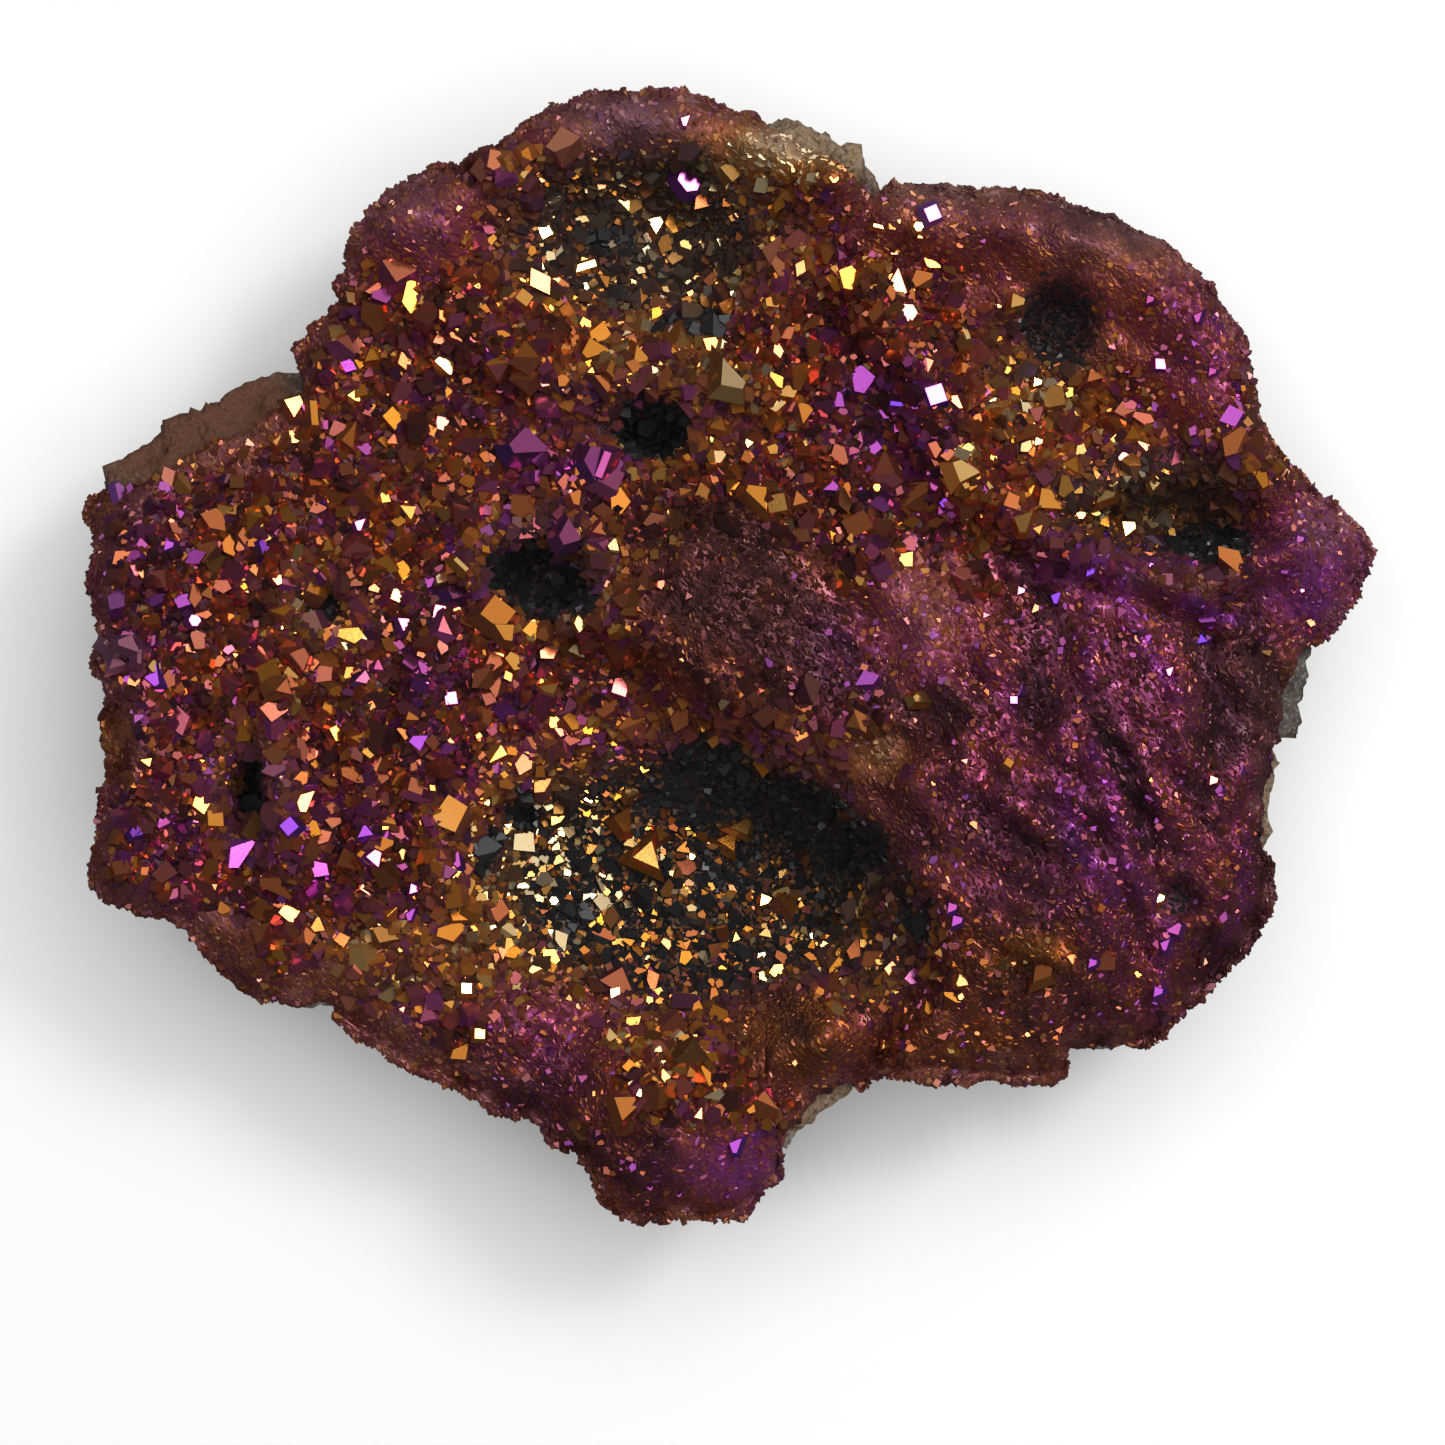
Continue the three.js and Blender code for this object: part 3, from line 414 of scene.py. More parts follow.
print("relief")
blotchPlaces = np.stack([gridU / fields["blotch"], gridV / fields["blotch"], gridU * 0 + 4], -1)
blotches = noiseOf(blotchPlaces.reshape(-1, 3), 3).reshape(gridU.shape)
lobeGrid = fineness(gridU, gridV, blotches)
heightGrid = surfaceHeight(gridU, gridV, lobeGrid)
ribGrid = ribs(gridU, gridV) * lobeGrid
rimDistance, rimSide = lineDistance(gridU, gridV, rimPlan, closed=True)
inward = -rimSide * rimDistance * unit / millimetre
bareWidth = stretchWidth(bareStretches, gridU, gridV)
insideGrid = smooth(inward - bareWidth, *fields["crustEdge"])
bandWidth = stretchWidth(bandStretches, gridU, gridV, least=fields["leastBand"]) + bareWidth
bandGrid = 1 - smooth(inward / (bandWidth * (1 + fields["bandWander"] * blotches)), *fields["edges"]["band"])
fineGrid = np.maximum(lobeGrid, bandGrid)
streakShade, streakShift = streakFilm(gridU, gridV)
filmGrid = filmField["start"] + patchSum(filmField["patches"], gridU, gridV)
filmGrid = filmGrid - ribGrid * fields["ribFilm"] + streakShift
veil, veilWander = fields["bandVeil"]
veilGrid = np.clip(patchSum(veils, gridU, gridV) + bandGrid * (veil + veilWander * blotches), 0, 1)
# Painted shade over the slab, from the patches, the streaks, the rim's band, and the ribs and blotches on
# the lobes.
paintedShadeGrid = patchSum(paintedShadePatches, gridU, gridV) + streakShade + bandGrid * fields["bandPaintedShade"]
lobePaintedShade = (fields["lobePaintedShade"] - ribGrid * fields["ribPaintedShade"] - blotches * fields["blotchPaintedShade"]) * lobeGrid
paintedShadeGrid = np.clip(paintedShadeGrid + lobePaintedShade, 0, fields["mostPaintedShade"])
pitGrid, hollowGrid, calmGrid, softGrid, goldGlintGrid, violetGlintGrid = (
    patchMost(patches, gridU, gridV, *fields["edges"][edge])
    for patches, edge in ((pits, "pit"), (hollows, "hollow"), (calmPatches, "calm"), (softPatches, "soft"),
                          (goldGlints, "glint"), (violetGlints, "glint")))
softGrid = softGrid * lobeGrid


def toPlan(x, y):
    return x / unit + slab["planMiddle"][0], slab["planMiddle"][1] - y / unit


def fromPlan(u, v):
    return (u - slab["planMiddle"][0]) * unit, (slab["planMiddle"][1] - v) * unit


# Builds a mesh from arrays. counts holds the corners of each face, faceValues a number per face.
def arrayMesh(name, points, corners, counts, faceValues=None, smoothShaded=False):
    mesh = bpy.data.meshes.new(name)
    mesh.vertices.add(len(points))
    mesh.vertices.foreach_set("co", np.asarray(points, np.float32).ravel())
    mesh.loops.add(len(corners))
    mesh.loops.foreach_set("vertex_index", np.asarray(corners, np.int32))
    starts = np.concatenate([[0], np.cumsum(counts)[:-1]])
    mesh.polygons.add(len(counts))
    mesh.polygons.foreach_set("loop_start", starts.astype(np.int32))
    mesh.polygons.foreach_set("loop_total", np.asarray(counts, np.int32))
    mesh.update(calc_edges=True)
    mesh.polygons.foreach_set("use_smooth", np.full(len(counts), smoothShaded))
    for label, values in (faceValues or {}).items():
        attribute = mesh.attributes.new(label, "FLOAT", "FACE")
        attribute.data.foreach_set("value", np.asarray(values, np.float32))
    piece = bpy.data.objects.new(name, mesh)
    bpy.context.collection.objects.link(piece)
    return piece


def triangleCount(mesh):
    return len(mesh.loops) - 2 * len(mesh.polygons)


# Shader maths on sockets: an expression on Wires adds its Math nodes.
class Wire:
    def __init__(self, shader, socket):
        self.shader, self.socket = shader, socket

    def maths(self, operation, *others):
        inputs = {0: self, **dict(enumerate(others, 1))}
        return self.shader.add("ShaderNodeMath", {"operation": operation}, inputs)

    def __add__(self, other): return self.maths("ADD", other)
    def __radd__(self, other): return self.maths("ADD", other)
    def __sub__(self, other): return self.maths("SUBTRACT", other)
    def __mul__(self, other): return self.maths("MULTIPLY", other)
    def __rmul__(self, other): return self.maths("MULTIPLY", other)

    def __rsub__(self, other):
        return self.shader.add("ShaderNodeMath", {"operation": "SUBTRACT"}, {0: other, 1: self})

    def clamped(self, low, high):
        return self.maths("MAXIMUM", low).maths("MINIMUM", high)


class Shader:
    def __init__(self, name, world=None):
        self.material = world or bpy.data.materials.new(name)
        self.material.use_nodes = True
        self.tree = self.material.node_tree
        self.tree.nodes.clear()

    # Adds a node: its settings first, then values or Wires for its inputs. Returns an output.
    def add(self, kind, settings=None, inputs=None, output=0):
        node = self.tree.nodes.new(kind)
        for key, value in (settings or {}).items():
            if key == "stops":
                ramp = node.color_ramp
                while len(ramp.elements) < len(value):
                    ramp.elements.new(0.5)
                for element, (position, colour) in zip(ramp.elements, value):
                    element.position = position
                    element.color = (*colour, 1)
            else:
                setattr(node, key, value)
        for key, value in (inputs or {}).items():
            if isinstance(value, Wire):
                self.tree.links.new(value.socket, node.inputs[key])
            else:
                node.inputs[key].default_value = value
        return Wire(self, node.outputs[output]) if len(node.outputs) else None

    def attribute(self, name):
        return self.add("ShaderNodeAttribute", {"attribute_name": name}, output="Fac")

    def noise(self, scale, detail=3.0, roughness=0.55):
        place = self.add("ShaderNodeTexCoord", output="Object")
        return self.add("ShaderNodeTexNoise", {}, {"Vector": place, "Scale": scale, "Detail": detail,
                                                   "Roughness": roughness})

    def mix(self, factor, first, second):
        return self.add("ShaderNodeMix", {"data_type": "RGBA"}, {0: factor, 6: first, 7: second}, output=2)

    def surface(self, closure):
        self.add("ShaderNodeOutputMaterial", {}, {"Surface": closure})
        return self.material


filmFinish = {
    "stops": [
        (0.00, (0.82, 0.62, 0.34)), (0.10, (0.80, 0.46, 0.130)), (0.22, (0.78, 0.27, 0.010)),
        (0.35, (0.64, 0.17, 0.030)), (0.48, (0.47, 0.105, 0.060)), (0.60, (0.43, 0.064, 0.17)),
        (0.74, (0.40, 0.054, 0.34)), (0.87, (0.31, 0.045, 0.54)), (1.00, (0.17, 0.030, 0.62)),
    ],
    "pit": (0.013, 0.012, 0.013),   # bare dark crystal in the pits, painted near-black as their shade
    "veil": (0.27, 0.19, 0.17),     # dull, brownish film on the worn rims
    "paintedShadeColour": (0.052, 0.020, 0.022),  # colour of the painted shade in the folds and between crystals
    "veilShare": 0.6,
    "metal": 0.93,
    "metalLoss": {"pit": 0.7, "veil": 0.26, "soft": 0.24},
    "coat": 0.35,
    # The coat thins in the pits and under the painted shade.
    "coatLoss": {"pit": 0.33, "dim": 0.3},
    "coatRoughness": 0.12,
    "coatBend": 1.6,                # the coat's index of refraction
    "dust": 0.012,                  # a faint pale sheen over everything
    "roughness": 0.13,
    "druseRoughness": 0.32,
    "roughnessGain": {"polish": 0.12, "pit": 0.12, "veil": 0.2, "soft": 0.1},
    "grainRoughness": 0.05,
    "drift": 0.12,                  # how far the film wanders over the slab
    "driftScale": 80,
    "grainScale": 2600,
    "grainBump": (0.04, 0.0001),    # strength, and depth in metres
}


def filmMaterial(name, roughness):
    shader = Shader(name)
    marks = {label: shader.attribute(label) for label in ("film", "veil", "soft", "dim", "pit", "polish")}
    drift = shader.noise(filmFinish["driftScale"], 3) - 0.5
    film = marks["film"] + drift * filmFinish["drift"]
    colour = shader.add("ShaderNodeValToRGB", {"stops": filmFinish["stops"]}, {"Fac": film.clamped(0, 1)})
    colour = shader.mix(marks["veil"] * filmFinish["veilShare"], colour, (*filmFinish["veil"], 1))
    # Painted shade: the film is mixed towards a dark colour by its dim marks.
    colour = shader.mix(marks["dim"], colour, (*filmFinish["paintedShadeColour"], 1))
    colour = shader.mix(marks["pit"], colour, (*filmFinish["pit"], 1))
    grain = shader.noise(filmFinish["grainScale"], 2)
    strength, depth = filmFinish["grainBump"]
    bumped = shader.add("ShaderNodeBump", {}, {"Strength": strength, "Distance": depth, "Height": grain})
    metal, coat = filmFinish["metal"], filmFinish["coat"]
    for label, loss in filmFinish["metalLoss"].items():
        metal = metal - marks[label] * loss
    for label, loss in filmFinish["coatLoss"].items():
        coat = coat - marks[label] * loss
    for label, gain in filmFinish["roughnessGain"].items():
        roughness = roughness + marks[label] * gain
    closure = shader.add("ShaderNodeBsdfPrincipled", {}, {
        "Base Color": colour,
        "Metallic": metal,
        "Coat Weight": coat.clamped(0, 1),
        "Coat Roughness": filmFinish["coatRoughness"],
        "Coat IOR": filmFinish["coatBend"],
        "Sheen Weight": filmFinish["dust"],
        "Sheen Roughness": 1.0,
        "Roughness": roughness + (grain - 0.5) * filmFinish["grainRoughness"],
        "Normal": bumped,
    })
    return shader.surface(closure)


rockFinish = {
    "dark": (0.050, 0.036, 0.028),
    "brown": (0.160, 0.105, 0.070),
    "tan": (0.270, 0.175, 0.098),
    "grey": (0.100, 0.088, 0.076),
    "pale": (0.330, 0.310, 0.260),
    "bronze": (0.200, 0.088, 0.055),
    "bronzeMetal": 0.5,
    "bronzeSmooth": 0.28,       # how much less rough the rock is where it is bronze
    "roughness": 0.74,
    "grainRoughness": 0.3,
    "bumpDepth": 0.0007,
    # Noises, as scale, detail and roughness: broad, patchy and fine grain, then stains and speckle.
    "noises": [(60, 5, 0.6), (230, 4, 0.6), (900, 5, 0.7), (95, 5, 0.65), (1700, 2, 0.6)],
    "patches": {
        "tan": [((815, 138), (100, 80), 1), ((815, 1122), (80, 70), 1), ((1285, 820), (45, 90), 1),
                ((1262, 455), (60, 40), 0.8)],
        "grey": [((1306, 690), (60, 80), 1), ((1255, 960), (60, 60), 0.7), ((400, 1080), (120, 50), 0.6)],
        "pale": [((1105, 1052), (50, 22), 0.8), ((300, 1004), (30, 22), 1), ((786, 1150), (18, 18), 0.8),
                 ((1045, 1080), (26, 16), 0.7), ((1308, 740), (14, 20), 0.4), ((130, 905), (40, 20), 0.6)],
        "bronze": [((190, 428), (150, 75), 1), ((90, 600), (30, 120), 0.8)],
    },
}


def rockMaterial():
    shader = Shader("weathered rock")
    broad, patchy, fine, stains, speckle = (shader.noise(*settings) for settings in rockFinish["noises"])

    def cover(colour, share, label, most=1.0):
        return shader.mix(share.clamped(0, most), colour, (*rockFinish[label], 1))

    # A stain's share near its places, its edge broken up by the rock's grain.
    def stainShare(label, gain, start, patchiness, grain=0):
        near = shader.attribute(label)
        share = near * gain - start + (patchy - 0.5) * patchiness
        if grain:
            share = share + (fine - 0.5) * grain
        return share * (near * 6).clamped(0, 1)

    ground = broad * 2.2 - 0.6 + (patchy - 0.5) * 1.2 + (fine - 0.5) * 0.7
    colour = cover((*rockFinish["dark"], 1), ground, "brown")
    colour = cover(colour, (stains - 0.52) * 5, "tan", 0.7)
    colour = cover(colour, (0.42 - stains) * 6, "grey", 0.8)
    for label in ("grey", "tan", "pale"):
        colour = cover(colour, stainShare(label, 1.4, 0.5, 2.4, 2.2), label)
    colour = cover(colour, (speckle - 0.56) * 7, "pale", 0.55)
    colour = cover(colour, (0.45 - speckle) * 8, "dark", 0.75)
    bronze = stainShare("bronze", 1.8, 0.4, 1.6).clamped(0, 0.92)
    colour = shader.mix(bronze, colour, (*rockFinish["bronze"], 1))
    bumped = shader.add("ShaderNodeBump", {}, {"Strength": 1.0, "Distance": rockFinish["bumpDepth"],
                                               "Height": fine + patchy + speckle * 0.4})
    closure = shader.add("ShaderNodeBsdfPrincipled", {}, {
        "Base Color": colour,
        "Metallic": bronze * rockFinish["bronzeMetal"],
        "Roughness": rockFinish["roughness"] - bronze * rockFinish["bronzeSmooth"]
        + (fine - 0.5) * rockFinish["grainRoughness"],
        "Normal": bumped,
    })
    return shader.surface(closure)


# The crust's skin, which the crystals stand on: polar rings about the hub, closed underneath.
skin = {
    "spokes": 440,
    "rings": 84,
    "crowding": 0.82,       # below 1, the rings stand closer together towards the rim
    "wrapCoarse": 4.0,      # millimetres that the crust wraps down over the rim
    "wrapFine": 4.4,
    "wrapBare": 3.0,
    "wrapWaves": [(38, 0.3), (87, 0.3), (149, 0.2)],    # waves around the slab, millimetres
    "jags": [(97, 3.0), (173, 2.0)],                    # waves around the slab, plan units
    "jagShare": 0.5,
    "skirtRings": 7,
    "bulge": 1.6,           # plan units that the fine lobes' lip swells out
    "inset": 3.5,           # plan units that the skirt leans in, besides its tuck
    "thickness": 0.0030,
    "underStep": 5,         # the underside has one ring for so many of the top's
    "underRise": 0.2,       # metres that the underside may rise from lip to hub
    "tuck": 16,             # plan units that the crust's lower edge turns in under its lip
    "swell": 8.5,           # plan units that the crust stands out past the rim line
    # painted shade in the gaps between the coarse crystals
    "gapShade": 0.85,
    "mostGap": 0.9,
    "filmShift": 0.1,
    "polish": 0.9,
}


# Distance from the hub to the rim, in plan units, along each direction.
def rimReach(angles):
    hubU, hubV = slab["planHub"]
    points = np.array(rimPlan, float) - (hubU, hubV)
    reach = np.zeros(angles.shape)
    heading = np.stack([np.cos(angles), np.sin(angles)], 1)
    for a, b in zip(points, np.roll(points, -1, 0)):
        edge = b - a
        cross = heading[:, 0] * edge[1] - heading[:, 1] * edge[0]
        cross = np.where(cross == 0, 1e-9, cross)
        along = (a[0] * edge[1] - a[1] * edge[0]) / cross
        share = (a[0] * heading[:, 1] - a[1] * heading[:, 0]) / cross
        hit = (along > 0) & (share >= 0) & (share <= 1)
        reach = np.where(hit, np.maximum(reach, along), reach)
    return reach


def ringFaces(rings, spokes, start=0):
    ring, spoke = np.meshgrid(np.arange(rings - 1), np.arange(spokes), indexing="ij")
    following = (spoke + 1) % spokes
    quads = np.stack([ring * spokes + spoke, ring * spokes + following,
                      (ring + 1) * spokes + following, (ring + 1) * spokes + spoke], -1)
    return quads.reshape(-1, 4) + start


def buildSkin():
    spokes, rings = skin["spokes"], skin["rings"]
    angles = np.arange(spokes) * 2 * math.pi / spokes
    (coarseCount, coarseJag), (fineCount, fineJag) = skin["jags"]
    jag = coarseJag * np.sin(angles * coarseCount + 2 * np.sin(angles * 31))
    jag = jag + fineJag * np.sin(angles * fineCount + 1.3)
    reach = rimReach(angles) + jag * skin["jagShare"] + skin["swell"]
    heading = np.stack([np.cos(angles), np.sin(angles)], 1)
    hub = np.array(slab["planHub"], float)
    rimU, rimV = (hub + heading * reach[:, None]).T
    bare = stretchWidth(bareStretches, rimU, rimV) * millimetre / unit
    edge = reach - bare
    layers = []
    for ring in range(1, rings + 1):
        share = (ring / rings) ** skin["crowding"]
        u, v = (hub + heading * (edge * share)[:, None]).T
        layers.append(np.stack([*fromPlan(u, v), readGrid(heightGrid, u, v)], 1))
    rimHeight = layers[-1][:, 2]
    fine = readGrid(lobeGrid, rimU, rimV)
    wrap = skin["wrapCoarse"] + (skin["wrapFine"] - skin["wrapCoarse"]) * fine
    wrap = np.where(bare > 0, skin["wrapBare"], wrap)
    phases = (1.7 * np.sin(angles * 13), jag, 0.6)
    for (count, wave), phase in zip(skin["wrapWaves"], phases):
        wrap = wrap + wave * np.sin(angles * count + phase)
    for step in range(1, skin["skirtRings"] + 1):
        share = step / skin["skirtRings"]
        out = skin["bulge"] * math.sin(share * math.pi) * fine
        out = out - share * skin["inset"] - share ** 4 * skin["tuck"]
        u, v = (hub + heading * (edge + out)[:, None]).T
        layers.append(np.stack([*fromPlan(u, v), rimHeight - wrap * share * millimetre], 1))
    topRings = len(layers)
    lip = layers[-1]
    for ring in range(rings - 1, 0, -skin["underStep"]):
        share = (ring / rings) ** skin["crowding"]
        u, v = (hub + heading * (edge * share)[:, None]).T
        under = readGrid(heightGrid, u, v) - skin["thickness"]
        ceiling = lip[:, 2] + (1 - share) * skin["underRise"]
        layers.append(np.stack([*fromPlan(u, v), np.minimum(under, ceiling)], 1))
    points = np.concatenate(layers)
    middleTop, middleLow = len(points), len(points) + 1
    hubX, hubY = fromPlan(*slab["planHub"])
    hubHeight = float(readGrid(heightGrid, hub[:1], hub[1:])[0])
    points = np.vstack([points, [[hubX, hubY, hubHeight], [hubX, hubY, hubHeight - skin["thickness"]]]])
    quads = ringFaces(len(layers), spokes)
    around = np.arange(spokes)
    following = (around + 1) % spokes
    topFan = np.stack([np.full(spokes, middleTop), following, around], 1)
    last = (len(layers) - 1) * spokes
    lowFan = np.stack([np.full(spokes, middleLow), last + around, last + following], 1)
    triangles = np.concatenate([quads[:, [0, 1, 2]], quads[:, [0, 2, 3]], topFan, lowFan])
    upper = quads[:, 0] < (topRings - 1) * spokes
    shown = np.concatenate([upper, upper, np.ones(spokes, bool), np.zeros(spokes, bool)])
    return points, triangles, shown


print("skin")
skinPoints, skinTriangles, skinShown = buildSkin()


def triangleNormals(points, triangles):
    a, b, c = (points[triangles[:, k]] for k in range(3))
    normals = np.cross(b - a, c - a)
    areas = np.linalg.norm(normals, axis=1)
    return normals / np.maximum(areas, 1e-15)[:, None], areas / 2


faceNormals, faceAreas = triangleNormals(skinPoints, skinTriangles)
# The winding is turned if the top faces down.
if faceNormals[skinShown][:, 2].mean() < 0:
    skinTriangles = skinTriangles[:, ::-1]
    faceNormals = -faceNormals

vertexNormals = np.zeros(skinPoints.shape)
for corner in range(3):
    np.add.at(vertexNormals, skinTriangles[:, corner], faceNormals * faceAreas[:, None])
vertexNormals /= np.linalg.norm(vertexNormals, axis=1)[:, None]


# Random points on the shown skin: places and smooth normals.
def sampleSkin(count, random, weight):
    triangles = skinTriangles[skinShown]
    middles = skinPoints[triangles].mean(1)
    u, v = toPlan(middles[:, 0], middles[:, 1])
    share = faceAreas[skinShown] * weight(u, v)
    picked = np.searchsorted(np.cumsum(share) / share.sum(), random.random(count))
    corners = triangles[np.minimum(picked, len(triangles) - 1)]
    a, b = random.random(count), random.random(count)
    flip = a + b > 1
    a, b = np.where(flip, 1 - a, a), np.where(flip, 1 - b, b)
    shares = np.stack([1 - a - b, a, b], 1)[:, :, None]
    places = (skinPoints[corners] * shares).sum(1)
    normals = (vertexNormals[corners] * shares).sum(1)
    return places, normals / np.linalg.norm(normals, axis=1)[:, None]


# Keeps candidates in turn, each clear of all kept so far by a share of their mean size.
# Every size class has its own grid, largest first, so the 27 cells in and around a place are enough.
class Spacing:
    def __init__(self):
        self.levels = []

    def openLevel(self, cell):
        self.levels.append((cell, {}))
        return self.levels[-1]

    def cellOf(self, level, place):
        return tuple(int(math.floor(c / level[0])) for c in place)

    def keep(self, level, place, size):
        level[1].setdefault(self.cellOf(level, place), []).append((place, size))

    def isClear(self, level, place, size, packing):
        x, y, z = self.cellOf(level, place)
        for i in (x - 1, x, x + 1):
            for j in (y - 1, y, y + 1):
                for k in (z - 1, z, z + 1):
                    for other, otherSize in level[1].get((i, j, k), ()):
                        if math.dist(place, other) < (size + otherSize) / 2 * packing:
                            return False
        return True

    def thin(self, places, sizes, packing):
        chosen = []
        own = self.openLevel(sizes.max() * packing)
        for i, (place, size) in enumerate(zip(places.tolist(), sizes.tolist())):
            if all(self.isClear(level, place, size, packing) for level in self.levels):
                self.keep(own, place, size)
                chosen.append(i)
        return np.array(chosen, int)


# Convex crystal from planes (normal, distance): corner points and the faces round them.
def crystalFromPlanes(planes):
    normals = np.array([normal for normal, _ in planes])
    distances = np.array([distance for _, distance in planes])
    points = []
    for corner in itertools.combinations(range(len(planes)), 3):
        matrix = normals[list(corner)]
        if abs(np.linalg.det(matrix)) < 1e-4:       # two planes are parallel, or nearly so
            continue
        point = np.linalg.solve(matrix, distances[list(corner)])
        if (normals @ point <= distances + 1e-7).all():
            points.append(point)
    points = np.array(points)
    _, unique = np.unique(np.round(points, 5), axis=0, return_index=True)
    points = points[np.sort(unique)]
    faces = []
    for normal, distance in zip(normals, distances):
        on = np.where(abs(points @ normal - distance) < 2e-5)[0]
        if len(on) < 3:
            continue
        centre = points[on].mean(0)
        across = np.cross(normal, [0.31, 0.17, 0.93])       # any way but the normal's own
        across /= np.linalg.norm(across)
        other = np.cross(normal, across)
        turn = np.arctan2((points[on] - centre) @ other, (points[on] - centre) @ across)
        faces.append(on[np.argsort(turn)])
    return points, faces


# Three habits: blunt rhombs, six-sided points, and sharp three-sided wedges.
crystalHabit = {
    "kinds": 42,
    "tipTilt": (38, 54),        # degrees from the axis to the tip faces' normals
    "tipDistance": (0.20, 0.52),
    "tipTurn": 10,
    "tipRise": (0.35, 0.95),    # how far up (a cosine) a face that may glint looks
    "wedgeTilt": (50, 66),
    "backDistance": (0.36, 0.50),
    "minorDistance": (0.42, 0.80),
    "minorTilt": 0.1,           # radians
    "prismDistance": (0.38, 0.56),
    "prismTilt": (84, 96),
    "prismTurn": 8,
    "cutShare": 0.35,           # share of the crystals whose tip is cut off flat
    "cutTilt": 0.3,             # radians
    "cutDistance": (0.22, 0.36),
    "foot": 0.42,
}
# Druse grains are low roofs, twice as long as they are wide, whose feet are buried.
grainHabit = {
    "kinds": 24,
    "tilt": (24, 44),
    "turn": 16,
    "halfLength": (0.24, 0.34),
    "halfWidth": (0.11, 0.17),
    "foot": 0.10,
}
fullTurn = 6.28


def direction(tilt, turn):
    return np.array([math.sin(tilt) * math.cos(turn), math.sin(tilt) * math.sin(turn), math.cos(tilt)])


def crystalKinds(random, simple=False):
    kinds = []
    habit = crystalHabit
    for number in range(habit["kinds"]):
        shape = ("rhomb", "point", "wedge")[number % 3]
        planes = []
        for k in range(3):
            tilt = math.radians(random.uniform(*habit["wedgeTilt" if shape == "wedge" else "tipTilt"]))
            turn = math.radians(k * 120 + random.uniform(-habit["tipTurn"], habit["tipTurn"]))
            planes.append((direction(tilt, turn), random.uniform(*habit["tipDistance"])))
            between = turn + math.pi / 3
            if shape == "rhomb":
                planes.append((direction(math.pi - tilt, between), random.uniform(*habit["backDistance"])))
            elif shape == "point" and not simple:
                minor = direction(tilt + random.uniform(-habit["minorTilt"], habit["minorTilt"]), between)
                planes.append((minor, random.uniform(*habit["minorDistance"])))
        sides = 6 if shape == "point" and not simple else 3
        if shape != "rhomb":
            for k in range(sides):
                turn = k * 360 / sides + 60 + random.uniform(-habit["prismTurn"], habit["prismTurn"])
                side = direction(math.radians(random.uniform(*habit["prismTilt"])), math.radians(turn))
                planes.append((side, random.uniform(*habit["prismDistance"])))
        if random.random() < habit["cutShare"]:
            cut = direction(random.uniform(0, habit["cutTilt"]), random.uniform(0, fullTurn))
            planes.append((cut, random.uniform(*habit["cutDistance"])))
        planes.append((np.array([0, 0, -1.0]), habit["foot"]))
        kinds.append(crystalFromPlanes(planes))
    return kinds


def grainShapes(random):
    kinds = []
    for _ in range(grainHabit["kinds"]):
        planes = [(np.array([0, 0, -1.0]), grainHabit["foot"])]
        for k in range(4):
            turn = math.radians(k * 90 + random.uniform(-grainHabit["turn"], grainHabit["turn"]))
            tilt = math.radians(random.uniform(*grainHabit["tilt"]))
            reach = random.uniform(*grainHabit["halfWidth" if k % 2 else "halfLength"])
            planes.append((direction(tilt, turn), reach * math.cos(tilt)))
        kinds.append(crystalFromPlanes(planes))
    return kinds


# Frames whose third axis is given. A comb direction lines up their first axes.
def turnMatrices(axes, spins, comb=None):
    helper = np.where(abs(axes[:, 2:3]) < 0.9, np.array([[0, 0, 1.0]]), np.array([[1.0, 0, 0]]))
    if comb is not None:
        helper = np.array([[-comb[1], comb[0], 0.0]])
    first = np.cross(helper, axes)
    first /= np.linalg.norm(first, axis=1)[:, None]
    second = np.cross(axes, first)
    cos, sin = np.cos(spins)[:, None], np.sin(spins)[:, None]
    return np.stack([first * cos + second * sin, second * cos - first * sin, axes], 2)


# Turns that bring a crystal's own direction to a target, with its axis as near as can be to another way.
def aimedMatrices(own, targets, ups):
    def frameOf(main, side):
        second = side - (side * main).sum(1)[:, None] * main
        second /= np.linalg.norm(second, axis=1)[:, None]
        return np.stack([main, second, np.cross(main, second)], 2)
    upward = np.tile([[0.0, 0.0, 1.0]], (len(own), 1))
    return frameOf(targets, ups) @ frameOf(own, upward).transpose(0, 2, 1)


# The broadest face of a crystal's tip, as its outward normal.
def tipFace(points, faces):
    best, broadest = None, 0
    lowest, highest = crystalHabit["tipRise"]
    for face in faces:
        normal = np.cross(points[face[1]] - points[face[0]], points[face[2]] - points[face[0]])
        normal /= np.linalg.norm(normal) + 1e-15
        ring = points[face]
        area = np.linalg.norm(np.cross(ring, np.roll(ring, -1, 0)).sum(0)) / 2
        if lowest < normal[2] < highest and area > broadest:
            best, broadest = normal, area
    return best


# Where each face lies, taken at its first corner.
def faceMiddles(allPoints, allCorners, allCounts):
    points, corners = np.concatenate(allPoints), np.concatenate(allCorners)
    counts = np.concatenate(allCounts)
    first = corners[np.concatenate([[0], np.cumsum(counts)[:-1]])]
    return points[first, 0], points[first, 1]


